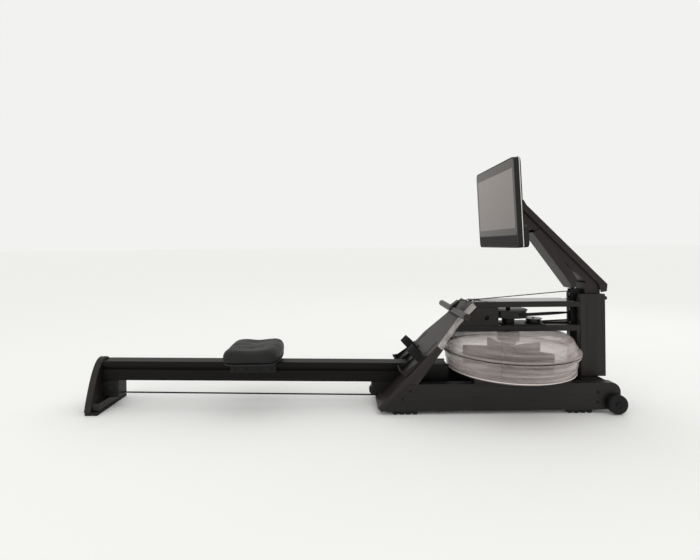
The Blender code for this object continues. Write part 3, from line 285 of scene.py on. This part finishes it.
# Feet, rear sole and wheels: press-moulded black rubber. The feet and the sole are screwed on
# from below; each wheel turns on a stub axle under a snapped-on plastic cap.
# Rubber is matt, and a faint bloom lifts it a little above the black wood.
moulded_rubber = fine_noise_finish("press-moulded black rubber", "#121111", 0.72, 0.0, 0.9, 0.05)
for node in ("right_front_foot", "left_front_foot", "right_rear_foot", "left_rear_foot",
             "rear_rubber_sole"):
    refine(node, moulded_rubber, 0.0015)
for node in ("right_wheel", "left_wheel"):
    refine(node, moulded_rubber, 0.0012, 3)
# Spark-eroded ABS has a fine even grain, so it spreads the light into a dull grey sheen.
black_abs = fine_noise_finish("black ABS, spark-eroded grain", "#141313", 0.52, 0.0, 0.7, 0.04)
wheel_low, wheel_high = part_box("right_wheel")
cap_sunk = 0.003
cap_radius = 0.0085
for side, sign in (("right", -1), ("left", 1)):
    place = ((wheel_high.x + wheel_low.x) / 2, sign * -(wheel_low.y + cap_sunk),
             (wheel_high.z + wheel_low.z) / 2)
    bolt_heads(f"{side}_wheel_cap", f"{side}_wheel_body", [place], (0, sign, 0), cap_radius, black_abs)

# Footboard: one solid ash board, planed, shaped and stained, held by screws through the beams.
# Its grain runs up the slope, and its edges are sanded finer and lacquered to more of a shine.
board_slope = math.radians(45.8)
ash_slope = stained_ash("black-stained ash, grain up the slope", board_slope, "#2A2220", "#171211", 0.46)
board = refine("footboard", ash_slope, 0.0022, 3)
# The edge is glossier, and its pale grey colour is a painted highlight for the light it catches beside the
# dark face.
ash_edge_painted_highlight = stained_ash("black-stained ash, edge with painted highlight", board_slope, "#B4AEAB", "#7C7573", 0.30)
board.data.materials.append(ash_edge_painted_highlight)
up_slope = Vector((math.cos(board_slope), 0, math.sin(board_slope)))
# Edge faces above this height take the pale painted highlight colour.
painted_highlight_from = 0.25
for face in board.data.polygons:
    sideways = abs(face.normal.y) > 0.55 and face.normal.dot(up_slope) > -0.2
    if sideways and face.center.z > painted_highlight_from:
        face.material_index = 1

# Heel cups and foot straps: injection-moulded nylon cups that slide up and down the footboard,
# each with a woven polyester strap, 2.5 mm thick, laid over the foot.
# Glass-filled nylon comes out of its mould half matt, with soft broad highlights on its edges.
moulded_nylon = fine_noise_finish("black glass-filled nylon", "#111010", 0.48, 0.0, 0.8, 0.05)


def woven(name, colour, thread_mm, roughness=0.85):
    """Woven or braided yarn with its threads this far apart; over and under takes two threads."""
    made, tree, shader = new_finish(name, colour, roughness)
    spot = add_node(tree, "ShaderNodeTexCoord")
    waves = []
    for direction in ("X", "Y"):
        waves.append(add_node(tree, "ShaderNodeTexWave",
                              (("bands_direction", direction), ("Scale", 1000 / thread_mm / 6.283),
                               ("Distortion", 0.4)), (("Vector", spot.outputs["Object"]),)))
    weave = add_node(tree, "ShaderNodeMath", (("operation", "MULTIPLY"),),
                     ((0, waves[0].outputs["Fac"]), (1, waves[1].outputs["Fac"])))
    shade = add_node(tree, "ShaderNodeMixRGB", (("Color1", (*[c * 0.5 for c in srgb(colour)], 1)),
                     ("Color2", (*[c * 1.5 for c in srgb(colour)], 1))), ((0, weave.outputs[0]),))
    tree.links.new(shade.outputs[0], shader.inputs["Base Color"])
    bump = add_node(tree, "ShaderNodeBump", (("Strength", 0.5), ("Distance", 0.0005)),
                    (("Height", weave.outputs[0]),))
    tree.links.new(bump.outputs[0], shader.inputs["Normal"])
    shader.inputs["Sheen Weight"].default_value = 0.04
    return made


# Polyester yarn is dull and hairy. Its threads, 0.8 mm apart, are drawn at 1.6 mm so they show.
webbing = woven("black woven polyester webbing", "#0E0D0D", 1.6)
for side in ("right", "left"):
    refine(f"{side}_footrest", moulded_nylon, 0.0012)
    refine(f"{side}_foot_strap", webbing, 0.0008)

# Rail: one aluminium extrusion with a groove along each side for the seat's rollers, anodised
# black. The die leaves draw lines that pull its highlight out lengthwise. Real ones are finer than
# 0.1 mm, and they are drawn 0.6 mm wide so that they show.
rail_finish, rail_tree, rail_shader = new_finish("black anodised aluminium, drawn lines", "#141211", 0.5, 0.6)
rail_spot = add_node(rail_tree, "ShaderNodeTexCoord")
rail_map = add_node(rail_tree, "ShaderNodeMapping", (("Scale", (1.5, 1800, 1800)),),
                    (("Vector", rail_spot.outputs["Object"]),))
rail_lines = add_node(rail_tree, "ShaderNodeTexNoise", (("Scale", 1.0), ("Detail", 3.0)),
                      (("Vector", rail_map.outputs[0]),))
rail_gloss = add_node(rail_tree, "ShaderNodeMapRange", (("To Min", 0.46), ("To Max", 0.64)),
                      (("Value", rail_lines.outputs["Fac"]),))
rail_tree.links.new(rail_gloss.outputs[0], rail_shader.inputs["Roughness"])
rail_bump = add_node(rail_tree, "ShaderNodeBump", (("Strength", 0.12), ("Distance", 0.0002)),
                     (("Height", rail_lines.outputs["Fac"]),))
rail_tree.links.new(rail_bump.outputs[0], rail_shader.inputs["Normal"])
refine("monorail", rail_finish, 0.0008)

# Rail fittings: a socket, a bracket and a rear clip of folded and welded steel, bolted to the
# rail, and the small plastic roller that the bungee turns on.
# Fine powder coat is a half-matt film with rounded edges, and shows a faint orange peel.
powder_coat = fine_noise_finish("fine black powder coat on steel", "#131212", 0.45, 0.25, 0.5, 0.04)
for node in ("rail_socket", "rail_front_bracket", "rear_rail_support"):
    refine(node, powder_coat, 0.0012)
refine("bungee_front_roller", black_abs, 0.0008)

# Rear end: one upright ash board with an arched top, standing across the rail's end and screwed
# to it, with a wider foot glued on that stands on the rubber sole.
refine("rear_end_plate", ash_up, 0.003, 3)

# Bungee: rubber strands in a braided nylon sleeve, the spring that winds the handle's strap back
# in. The braid glints a little more than webbing. Its yarns, about 0.6 mm apart, are drawn at
# 1.2 mm so that they show.
braid = woven("black braided nylon sleeve", "#100F0F", 1.2, 0.7)
refine("bungee_cord", braid, 0.0)

# Carriage: a folded steel saddle over the rail, powder coated, with four nylon rollers that run in
# the rail's grooves and four bolts through each side.
refine("seat_carriage", powder_coat, 0.0008)
for place in ("rear", "front"):
    for side in ("right", "left"):
        refine(f"seat_roller_{place}_{side}", moulded_nylon, 0.0006)
carriage_low, carriage_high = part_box("seat_carriage")
carriage_middle = (carriage_low.x + carriage_high.x) / 2
bolt_height = 0.1605
rail_fall = 0.0157
for side, sign in (("right", -1), ("left", 1)):
    bolts = []
    for offset in (-0.0775, -0.030, 0.023, 0.0775):
        bolts.append((carriage_middle + offset, sign * carriage_high.y, bolt_height - offset * rail_fall))
    bolt_heads(f"{side}_carriage_bolts", "seat", bolts, (0, sign, 0), 0.0046, black_oxide)

# Seat: integral-skin polyurethane foam moulded on a nylon pan, matt black with a fine leather
# grain. The foam swells a little over the pan and is pinched where its skin tucks in.
seat_low, seat_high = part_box("seat_pad")
seat_middle = (seat_low + seat_high) / 2
seat_half = (seat_high - seat_low) / 2
pan_height = 0.009


def rounded_plan(angle, half_x, half_y, power=5.5):
    """A point of the seat's outline: a rounded rectangle whose front and back bow out in the middle."""
    across, along = math.cos(angle), math.sin(angle)
    reach = (abs(across) ** power + abs(along) ** power) ** (-1 / power)
    side = half_y * along * reach
    bow = 1 + 0.075 * math.exp(-(side / 0.075) ** 2)
    return half_x * across * reach * bow, side


def soft_step(value):
    """Rises smoothly from 0 to 1 while the value does."""
    value = min(max(value, 0.0), 1.0)
    return value * value * (3 - 2 * value)


def seat_top(x, y, share):
    """Height of the pad over its pan: a lower tail, two hollows for the sit bones, a rolled front."""
    crown = (1 - share ** 20) ** 0.42
    tail = 0.010 * soft_step((-0.088 - x) / 0.026) * math.exp(-(y / 0.085) ** 2)
    tail += 0.0035 * math.exp(-(x / 0.050) ** 2)
    hollow = 0.006 * math.exp(-(x + 0.005) ** 2 / 0.0016 - (abs(y) - 0.055) ** 2 / 0.0012)
    channel = 0.003 * math.exp(-(y / 0.016) ** 2) * soft_step((-x + 0.02) / 0.05)
    roll = 0.002 * soft_step((x - 0.05) / 0.03)
    return 0.008 + (0.040 - tail - hollow - channel + roll) * crown


seat_form = bmesh.new()
seat_rings = []
ring_count, spoke_count = 22, 72
for k in range(ring_count + 1):
    share = math.sin(math.pi / 2 * k / ring_count)
    ring = []
    for i in range(spoke_count):
        x, y = rounded_plan(math.tau * i / spoke_count, (seat_half.x + 0.001) * share,
                            (seat_half.y - 0.002) * share)
        height = seat_low.z + pan_height + seat_top(x, y, share)
        ring.append(seat_form.verts.new((seat_middle.x - 0.001 + x, y, height)))
        if k == 0:
            break
    seat_rings.append(ring)
under_ring = []
for vert in seat_rings[-1]:
    spot = Vector((seat_middle.x, 0, 0)).lerp(Vector((vert.co.x, vert.co.y, 0)), 0.965)
    under_ring.append(seat_form.verts.new((spot.x, spot.y, seat_low.z + pan_height)))
seat_rings.append(under_ring)
for first, second in zip(seat_rings, seat_rings[1:]):
    for i in range(spoke_count):
        j = (i + 1) % spoke_count
        if len(first) == 1:
            seat_form.faces.new((first[0], second[i], second[j]))
        else:
            seat_form.faces.new((first[i], second[i], second[j], first[j]))
seat_form.faces.new(list(reversed(under_ring)))
bmesh.ops.recalc_face_normals(seat_form, faces=seat_form.faces)
seat_mesh = bpy.data.meshes.new("seat_cushion")
seat_form.to_mesh(seat_mesh)
seat_form.free()
# The skin copies a leather grain from its mould and scatters the light, so the pad stays matt,
# with worn patches a little shinier. Grain cells of 0.8 mm are drawn at 1.8 mm so that they show.
skin_foam, foam_tree, foam = new_finish("integral-skin polyurethane foam, leather grain", "#1D1B1B", 0.55)
foam_spot = add_node(foam_tree, "ShaderNodeTexCoord")
foam_cells = add_node(foam_tree, "ShaderNodeTexVoronoi", (("Scale", 1000 / 1.8),),
                      (("Vector", foam_spot.outputs["Object"]),))
foam_bump = add_node(foam_tree, "ShaderNodeBump", (("Strength", 0.4), ("Distance", 0.0003)),
                     (("Height", foam_cells.outputs["Distance"]),))
foam_tree.links.new(foam_bump.outputs[0], foam.inputs["Normal"])
foam_wear = add_node(foam_tree, "ShaderNodeTexNoise", (("Scale", 14.0), ("Detail", 4.0)),
                     (("Vector", foam_spot.outputs["Object"]),))
foam_gloss = add_node(foam_tree, "ShaderNodeMapRange", (("To Min", 0.46), ("To Max", 0.66)),
                      (("Value", foam_wear.outputs["Fac"]),))
foam_tree.links.new(foam_gloss.outputs[0], foam.inputs["Roughness"])
foam_shade = add_node(foam_tree, "ShaderNodeMixRGB", (("Color1", (*srgb("#100F0F"), 1)),
                      ("Color2", (*srgb("#1A1818"), 1))), ((0, foam_wear.outputs["Fac"]),))
foam_tree.links.new(foam_shade.outputs[0], foam.inputs["Base Color"])
cushion = show("seat_cushion", seat_mesh, skin_foam)
remesh = cushion.modifiers.new("even faces", "REMESH")
remesh.mode = "VOXEL"
remesh.voxel_size = 0.005


def settle(piece):
    """Applies every modifier on a piece."""
    evaluated = piece.evaluated_get(bpy.context.evaluated_depsgraph_get())
    applied = bpy.data.meshes.new_from_object(evaluated)
    piece.modifiers.clear()
    piece.data = applied


settle(cushion)
flat_spots = [vert.co.copy() for vert in cushion.data.vertices]
swell = cushion.modifiers.new("foam swelling", "CLOTH")
swell.settings.use_pressure = True
swell.settings.uniform_pressure_force = 4
swell.settings.quality = 5
swell.settings.effector_weights.gravity = 0
swell.collision_settings.use_collision = False
for step in range(1, 21):
    bpy.context.scene.frame_set(step)
settle(cushion)
bpy.context.scene.frame_set(1)
most_swell = 0.004
for vert, spot in zip(cushion.data.vertices, flat_spots):
    moved = vert.co - spot
    if moved.length > most_swell:
        moved = moved.normalized() * most_swell
    vert.co = spot + moved
    vert.co.z = max(vert.co.z, seat_low.z + pan_height + 0.0003)
smoothing = cushion.modifiers.new("even skin", "SMOOTH")
smoothing.factor = 0.5
smoothing.iterations = 6
rounding = cushion.modifiers.new("fine skin", "SUBSURF")
rounding.levels = rounding.render_levels = 1
settle(cushion)
crease_height = seat_low.z + pan_height + 0.009
crease_width = 0.0026
crease_depth = 0.0020
for vert in cushion.data.vertices:
    off = (vert.co.z - crease_height) / crease_width
    edge = max(abs(vert.co.x - seat_middle.x) / seat_half.x, abs(vert.co.y) / seat_half.y)
    if abs(off) < 3 and edge > 0.6:
        pull = crease_depth * math.exp(-off * off)
        inward = Vector((seat_middle.x - vert.co.x, -vert.co.y, 0)).normalized()
        vert.co += inward * pull
cushion.data.shade_smooth()
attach(cushion, "seat")
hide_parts("seat_pad")
pan_form = bmesh.new()
pan_rings = []
for share, height in ((0.80, 0.0003), (0.90, 0.0006), (0.945, 0.003), (0.96, pan_height - 0.0012),
                      (0.955, pan_height), (0.90, pan_height)):
    ring = []
    for i in range(spoke_count):
        x, y = rounded_plan(math.tau * i / spoke_count, seat_half.x * share, seat_half.y * share)
        ring.append(pan_form.verts.new((seat_middle.x + x, y, seat_low.z + height)))
    pan_rings.append(ring)
for first, second in zip(pan_rings, pan_rings[1:]):
    for i in range(spoke_count):
        j = (i + 1) % spoke_count
        pan_form.faces.new((first[i], first[j], second[j], second[i]))
pan_form.faces.new(list(reversed(pan_rings[0])))
pan_form.faces.new(pan_rings[-1])
bmesh.ops.recalc_face_normals(pan_form, faces=pan_form.faces)
pan_mesh = bpy.data.meshes.new("seat_pan")
pan_form.to_mesh(pan_mesh)
pan_form.free()
pan_mesh.shade_smooth()
pan_mesh.set_sharp_from_angle(angle=math.radians(50))
seat_pan = show("seat_pan", pan_mesh, moulded_nylon)
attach(seat_pan, "seat")
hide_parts("seat_pad")

# Tank: two blow-moulded polycarbonate shells with walls of 3 mm, bolted flange to flange on a
# black seal, with a small moulded bead round the lower one's foot and a push-in filler plug.
tank_low, tank_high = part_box("tank_lower_shell")
tank_axis_x = (tank_low.x + tank_high.x) / 2
# Clear polycarbonate has a faint warm cast. It is seen through where it faces the eye and turns milky at its
# edges.
# Paler, more opaque streaks round it are painted reflections of the studio, and the same noise gives the wall
# shallow ripples.
clear_shell, shell_tree, shell = new_finish("clear blow-moulded polycarbonate", "#DCD2CF", 0.09, 0.0, 0.5)
shell.inputs["IOR"].default_value = 1.585
shell_spot = add_node(shell_tree, "ShaderNodeTexCoord")
shell_map = add_node(shell_tree, "ShaderNodeMapping", (("Scale", (3.0, 3.0, 90.0)),),
                     (("Vector", shell_spot.outputs["Object"]),))
flow_and_painted_reflection = add_node(shell_tree, "ShaderNodeTexNoise", (("Scale", 1.0), ("Detail", 3.0), ("Distortion", 0.3)),
                (("Vector", shell_map.outputs[0]),))
facing = add_node(shell_tree, "ShaderNodeLayerWeight", (("Blend", 0.35),))
cover = add_node(shell_tree, "ShaderNodeMapRange", (("To Min", 0.15), ("To Max", 0.74)),
                 (("Value", facing.outputs["Facing"]),))
# Painted reflection: along the streaks the shell is more opaque.
painted_reflection_streaks = add_node(shell_tree, "ShaderNodeMapRange", (("From Min", 0.35), ("From Max", 0.70), ("To Min", 0.0),
                   ("To Max", 0.07)), (("Value", flow_and_painted_reflection.outputs["Fac"]),))
opacity = add_node(shell_tree, "ShaderNodeMath", (("operation", "ADD"), ("use_clamp", True)),
                   ((0, cover.outputs[0]), (1, painted_reflection_streaks.outputs[0])))
shell_tree.links.new(opacity.outputs[0], shell.inputs["Alpha"])
# Painted reflection: the shell's colour turns paler along the same streaks.
shell_painted_reflection_ramp = add_node(shell_tree, "ShaderNodeValToRGB", (), ((0, flow_and_painted_reflection.outputs["Fac"]),))
shell_painted_reflection_ramp.color_ramp.elements[0].position = 0.35
shell_painted_reflection_ramp.color_ramp.elements[0].color = (*srgb("#B3A6A3"), 1)
shell_painted_reflection_ramp.color_ramp.elements[1].position = 0.65
shell_painted_reflection_ramp.color_ramp.elements[1].color = (*srgb("#D6CAC7"), 1)
shell_tree.links.new(shell_painted_reflection_ramp.outputs["Color"], shell.inputs["Base Color"])
shell_bump = add_node(shell_tree, "ShaderNodeBump", (("Strength", 0.10), ("Distance", 0.002)),
                      (("Height", flow_and_painted_reflection.outputs["Fac"]),))
shell_tree.links.new(shell_bump.outputs[0], shell.inputs["Normal"])


def turn_profile(name, outline, finish, sides=96):
    """A closed ring turned about the tank's axis from (radius, height) points."""
    form = bmesh.new()
    rings = []
    for radius, height in outline:
        ring = []
        for i in range(sides):
            angle = math.tau * i / sides
            ring.append(form.verts.new((tank_axis_x + radius * math.cos(angle), radius * math.sin(angle),
                                        height)))
        rings.append(ring)
    for k, first in enumerate(rings):
        second = rings[(k + 1) % len(rings)]
        for i in range(sides):
            j = (i + 1) % sides
            form.faces.new((first[i], first[j], second[j], second[i]))
    bmesh.ops.recalc_face_normals(form, faces=form.faces)
    mesh = bpy.data.meshes.new(name)
    form.to_mesh(mesh)
    form.free()
    mesh.shade_smooth()
    mesh.set_sharp_from_angle(angle=math.radians(38))
    return show(name, mesh, finish)


def shell_outline(outside, wall):
    """The outside and, a wall further in, the inside of a shell."""
    inside = []
    for i, (radius, height) in enumerate(outside):
        before = Vector(outside[max(i - 1, 0)])
        after = Vector(outside[min(i + 1, len(outside) - 1)])
        along = (after - before).normalized()
        inside.append((radius - along.y * wall, height + along.x * wall))
    return outside + list(reversed(inside))


def smooth_points(points, steps=5):
    """Catmull-Rom points through an outline."""
    out = []
    for i in range(len(points) - 1):
        p0, p1 = Vector(points[max(i - 1, 0)]), Vector(points[i])
        p2, p3 = Vector(points[i + 1]), Vector(points[min(i + 2, len(points) - 1)])
        for k in range(steps):
            t = k / steps
            out.append(tuple(0.5 * ((2 * p1) + (p2 - p0) * t + (2 * p0 - 5 * p1 + 4 * p2 - p3) * t * t
                                    + (3 * p1 - p0 - 3 * p2 + p3) * t ** 3)))
    out.append(tuple(points[-1]))
    return out


floor_height = tank_low.z
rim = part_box("tank_gasket")
wall = 0.003
lower_side = smooth_points([(0.030, floor_height + 0.0003), (0.150, floor_height + 0.0003),
                            (0.228, floor_height + 0.001), (0.246, floor_height + 0.005),
                            (0.2565, floor_height + 0.014), (0.262, floor_height + 0.030),
                            (0.2600, floor_height + 0.036), (0.2655, floor_height + 0.046),
                            (0.2670, rim[0].z - 0.020), (0.2675, rim[0].z - 0.008)], 4)
lower_side += [(0.279, rim[0].z - 0.0065), (0.2795, rim[0].z - 0.0006)]
lower_outline = shell_outline(lower_side, wall)[:-1] + [(0.030, floor_height + wall)]
lower_shell = turn_profile("lower_tank_shell", lower_outline, clear_shell)
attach(lower_shell, "frame")
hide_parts("tank_lower_shell")
upper_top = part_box("tank_upper_shell")[1].z
upper_side = [(0.2795, rim[1].z + 0.0006), (0.279, rim[1].z + 0.0060)]
upper_side += smooth_points([(0.2675, rim[1].z + 0.0075), (0.2660, rim[1].z + 0.024),
                             (0.2600, rim[1].z + 0.030), (0.2570, rim[1].z + 0.040),
                             (0.2470, rim[1].z + 0.056), (0.2300, rim[1].z + 0.066),
                             (0.2150, upper_top - 0.0085), (0.190, upper_top - 0.0050),
                             (0.1550, upper_top - 0.0010), (0.060, upper_top - 0.0006),
                             (0.0255, upper_top - 0.0006)], 4)
upper_shell = turn_profile("upper_tank_shell", shell_outline(upper_side, wall), clear_shell)
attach(upper_shell, "frame")
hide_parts("tank_upper_shell")
# The bead is polished in the mould, and its near-white colour is a painted highlight for the light along the
# rim, so it shows as one fine bright line round the foot.
bead_painted_highlight, bead_tree, bead = new_finish("moulded bead, polycarbonate, painted highlight", "#EDE6E3", 0.12, 0.0, 0.5)
bead_wear = add_node(bead_tree, "ShaderNodeTexNoise", (("Scale", 20.0), ("Detail", 2.0)))
bead_gloss = add_node(bead_tree, "ShaderNodeMapRange", (("To Min", 0.08), ("To Max", 0.2)),
                      (("Value", bead_wear.outputs["Fac"]),))
bead_tree.links.new(bead_gloss.outputs[0], bead.inputs["Roughness"])
bead_radius, bead_height, bead_size = 0.2592, floor_height + 0.0135, 0.0016
bead_outline = [(bead_radius + bead_size * math.cos(math.tau * k / 8),
                 bead_height + bead_size * math.sin(math.tau * k / 8)) for k in range(8)]
foot_bead = turn_profile("tank_foot_bead", bead_outline, bead_painted_highlight, 128)
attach(foot_bead, "frame")
refine("tank_gasket", moulded_rubber, 0.0)
refine("tank_plug", black_abs, 0.001)

# Impeller: a moulded hub with flat paddles, pressed on a steel shaft that runs up through a
# bearing in a moulded black housing at the top of the tank.
# Plain polypropylene is waxy, so the paddles show through the tank as soft dark shapes.
dark_moulding = fine_noise_finish("dark moulded polypropylene", "#1E1B1C", 0.5, 0.0, 1.2, 0.04)
refine("impeller", dark_moulding, 0.001)
hub_reach = 0.0108
bearing_outline = [(hub_reach, 0.248), (0.030, 0.248), (0.033, 0.251), (0.033, 0.262), (0.044, 0.264),
                   (0.046, 0.268), (0.046, 0.297), (0.043, 0.3005), (hub_reach, 0.3005)]
bearing_housing = turn_profile("paddle_bearing", bearing_outline, black_abs, 48)
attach(bearing_housing, "frame")

# Drive: the drum, spool and pulleys are black acetal, turned and left smooth, so they glint;
# the castings and brackets that hold them are powder coated.
acetal = fine_noise_finish("turned black acetal", "#121111", 0.28, 0.0, 0.4, 0.01, 0.15)
for node in ("drive_drum", "bungee_spool", "strap_top_pulley", "strap_lower_pulley", "bungee_top_pulley",
             "bungee_bottom_pulley"):
    refine(node, acetal, 0.0006)
for node in ("drive_mount", "pulley_bracket"):
    refine(node, powder_coat, 0.0008)
# Turned steel is bright, and its fine tool marks spread the highlight along the roller.
turned_steel = fine_noise_finish("turned bright steel", "#9A9896", 0.25, 1.0, 0.3, 0.01, 0.15)
refine("strap_guide_roller", turned_steel, 0.0006)

# Spine: ash struts, an end block and two upright posts, stained as the base and bolted together
# over the tank, with a thin black acrylic deck screwed on top.
for node in ("right_top_strut", "left_top_strut", "right_lower_strut", "left_lower_strut", "spine_block"):
    refine(node, ash_along, 0.0012)
for node in ("right_post", "left_post"):
    refine(node, ash_up, 0.0022, 3)
# Polished acrylic mirrors the pale room, so the deck looks dark grey and wet beside the wood.
gloss_deck = fine_noise_finish("polished black acrylic", "#3B3939", 0.12, 0.0, 3.0, 0.01, 0.05)
refine("top_deck", gloss_deck, 0.0006)

# Handle: a turned ash bar, stained and lacquered, clamped at its middle in a powder-coated steel
# yoke that holds the strap's end. The thicker lacquer gives the bar a narrow, clear highlight.
bar_ash = stained_ash("black-stained ash, turned bar", 0.0, "#2A211E", "#15100F", 0.38)
refine("handle_bar", bar_ash, 0.0)
refine("handle_yoke", powder_coat, 0.0012)

# Strap: black polypropylene webbing, 13 mm wide, run from the yoke round the pulleys to the drum.
# Its upper run pays out with the handle, so it is cut into short lengths that can follow.
drive_strap = refine("handle_strap", webbing, 0.0, rides=False)
strap_form = bmesh.new()
strap_form.from_mesh(drive_strap.data)
first_cut, cut_length, cut_count = 0.462, 0.006, 23
for step in range(1, cut_count + 1):
    place = Vector((first_cut + cut_length * step, 0, 0))
    every = strap_form.verts[:] + strap_form.edges[:] + strap_form.faces[:]
    bmesh.ops.bisect_plane(strap_form, geom=every, plane_co=place, plane_no=(1, 0, 0))
strap_form.to_mesh(drive_strap.data)
strap_form.free()
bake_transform(drive_strap)

# Arm: two pressed steel channels over a welded core, bolted to the posts, with the display's tilt
# bracket pinned at its upper end. All of it is powder coated.
# This coat has a warm brown cast, and its half-matt film shows one soft light along each fold.
arm_coat = fine_noise_finish("brown-black powder coat on pressed steel", "#2A2424", 0.42, 0.3, 0.5, 0.04)
for node in ("arm_upper_channel", "arm_lower_channel"):
    refine(node, arm_coat, 0.0012)
for node in ("arm_core", "display_bracket"):
    refine(node, arm_coat, 0.0)

# Display: an ABS shell, moulded with fine grain, closed by a bonded cover glass. The glass is
# printed black round its picture area, and a bright anodised trim ring runs round the shell.
refine("display_housing", black_abs, 0.0030, 3)
# Black ink under smooth glass gives a dark brown-grey face with a clear reflection of the room.
cover_glass = fine_noise_finish("cover glass over black ink", "#3A322F", 0.14, 0.0, 5.0, 0.005, 0.02)
refine("display_glass", cover_glass, 0.0004)
glass_low, glass_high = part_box("display_glass")
shell_low, shell_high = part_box("display_housing")
screen_lean = math.radians(2.55)
screen_foot = Vector((glass_low.x + (glass_high.z - glass_low.z) * math.tan(screen_lean), 0, glass_low.z))
screen_up = Vector((-math.sin(screen_lean), 0, math.cos(screen_lean)))
screen_out = Vector((-math.cos(screen_lean), 0, -math.sin(screen_lean)))


def screen_plate(name, y_half, low, high, lift, thickness, finish):
    """A thin rounded plate on the glass: from low to high up its face, lifted off it."""
    form = bmesh.new()
    corner = 0.004
    outline = []
    for middle_y, middle_up, first in ((y_half - corner, high - corner, 0),
                                       (corner - y_half, high - corner, 1),
                                       (corner - y_half, low + corner, 2),
                                       (y_half - corner, low + corner, 3)):
        for k in range(7):
            angle = math.pi / 2 * (first + k / 6)
            outline.append((middle_y + corner * math.cos(angle), middle_up + corner * math.sin(angle)))
    rings = []
    for out in (lift - thickness, lift):
        rings.append([form.verts.new(screen_foot + screen_up * up + screen_out * out + Vector((0, y, 0)))
                      for y, up in outline])
    for i in range(len(outline)):
        j = (i + 1) % len(outline)
        form.faces.new((rings[0][i], rings[0][j], rings[1][j], rings[1][i]))
    form.faces.new(list(reversed(rings[0])))
    form.faces.new(rings[1])
    bmesh.ops.recalc_face_normals(form, faces=form.faces)
    mesh = bpy.data.meshes.new(name)
    form.to_mesh(mesh)
    form.free()
    piece = show(name, mesh, finish)
    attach(piece, "display")


# The unlit panel under glass carries a painted reflection of the pale room: a grey brown that fades a little
# lighter towards its top.
picture_glass, picture_tree, picture = new_finish("unlit liquid crystal panel under glass", "#6E665F", 0.22,
                                                  0.0, 0.5)
picture_spot = add_node(picture_tree, "ShaderNodeTexCoord")
picture_axes = add_node(picture_tree, "ShaderNodeSeparateXYZ", (), ((0, picture_spot.outputs["Object"]),))
picture_reflection_fade = add_node(picture_tree, "ShaderNodeMapRange",
                        (("From Min", glass_low.z), ("From Max", glass_high.z)),
                        (("Value", picture_axes.outputs["Z"]),))
# Painted reflection: darker at the panel's foot, paler at its top.
picture_painted_reflection_ramp = add_node(picture_tree, "ShaderNodeValToRGB", (), ((0, picture_reflection_fade.outputs[0]),))
picture_painted_reflection_ramp.color_ramp.elements[0].color = (*srgb("#6B6362"), 1)
picture_painted_reflection_ramp.color_ramp.elements[1].color = (*srgb("#7F766E"), 1)
picture_tree.links.new(picture_painted_reflection_ramp.outputs["Color"], picture.inputs["Base Color"])
glass_length = (glass_high.z - glass_low.z) / math.cos(screen_lean)
screen_plate("picture_area", 0.206, 0.0265, glass_length - 0.0370, 0.0004, 0.0006, picture_glass)
# The grille's round holes stand 4 mm apart, and show as rows of dark dots in a dull black strip.
grille_finish, grille_tree, grille = new_finish("punched speaker cloth, black", "#1A1717", 0.8)
grille_spot = add_node(grille_tree, "ShaderNodeTexCoord")
grille_axes = add_node(grille_tree, "ShaderNodeSeparateXYZ", (), ((0, grille_spot.outputs["Object"]),))
hole_pitch = 0.004
hole_waves = []
for axis in ("Y", "Z"):
    turns = add_node(grille_tree, "ShaderNodeMath", (("operation", "MULTIPLY"), (1, math.tau / hole_pitch)),
                     ((0, grille_axes.outputs[axis]),))
    hole_waves.append(add_node(grille_tree, "ShaderNodeMath", (("operation", "SINE"),),
                               ((0, turns.outputs[0]),)))
holes = add_node(grille_tree, "ShaderNodeMath", (("operation", "MULTIPLY"),),
                 ((0, hole_waves[0].outputs[0]), (1, hole_waves[1].outputs[0])))
hole_ramp = add_node(grille_tree, "ShaderNodeValToRGB", (), ((0, holes.outputs[0]),))
hole_ramp.color_ramp.elements[0].position = 0.45
hole_ramp.color_ramp.elements[0].color = (*srgb("#262122"), 1)
hole_ramp.color_ramp.elements[1].position = 0.60
hole_ramp.color_ramp.elements[1].color = (*srgb("#070707"), 1)
grille_tree.links.new(hole_ramp.outputs["Color"], grille.inputs["Base Color"])
screen_plate("speaker_grille", 0.214, -0.0440, -0.0035, 0.0004, 0.0008, grille_finish)
# Bright anodised aluminium is silvery and slightly matt, so the trim shows as an even pale line.
trim_metal = fine_noise_finish("bright anodised aluminium trim", "#D9D5D2", 0.38, 1.0, 0.5, 0.01, 0.1)
trim_curve = bpy.data.curves.new("display_trim", "CURVE")
trim_curve.dimensions = "3D"
trim_curve.bevel_depth = 0.0019
trim_curve.bevel_resolution = 2
trim_line = trim_curve.splines.new("POLY")
trim_points = []
trim_half = shell_high.y + 0.0003
trim_low = -(glass_low.z - shell_low.z) + 0.0015
trim_high = glass_length + 0.0035
trim_corner = 0.010
trim_back = 0.0200
for middle_y, middle_up, first in ((trim_half - trim_corner, trim_high - trim_corner, 0),
                                   (trim_corner - trim_half, trim_high - trim_corner, 1),
                                   (trim_corner - trim_half, trim_low + trim_corner, 2),
                                   (trim_half - trim_corner, trim_low + trim_corner, 3)):
    for k in range(7):
        angle = math.pi / 2 * (first + k / 6)
        up = middle_up + trim_corner * math.sin(angle)
        side = middle_y + trim_corner * math.cos(angle)
        trim_points.append(screen_foot + screen_up * up - screen_out * trim_back + Vector((0, side, 0)))
trim_line.points.add(len(trim_points) - 1)
for point, spot in zip(trim_line.points, trim_points):
    point.co = (*spot, 1)
trim_line.use_cyclic_u = True
trim_curve.materials.append(trim_metal)
display_trim = bpy.data.objects.new("display_trim", trim_curve)
bpy.context.scene.collection.objects.link(display_trim)
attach(display_trim, "display")
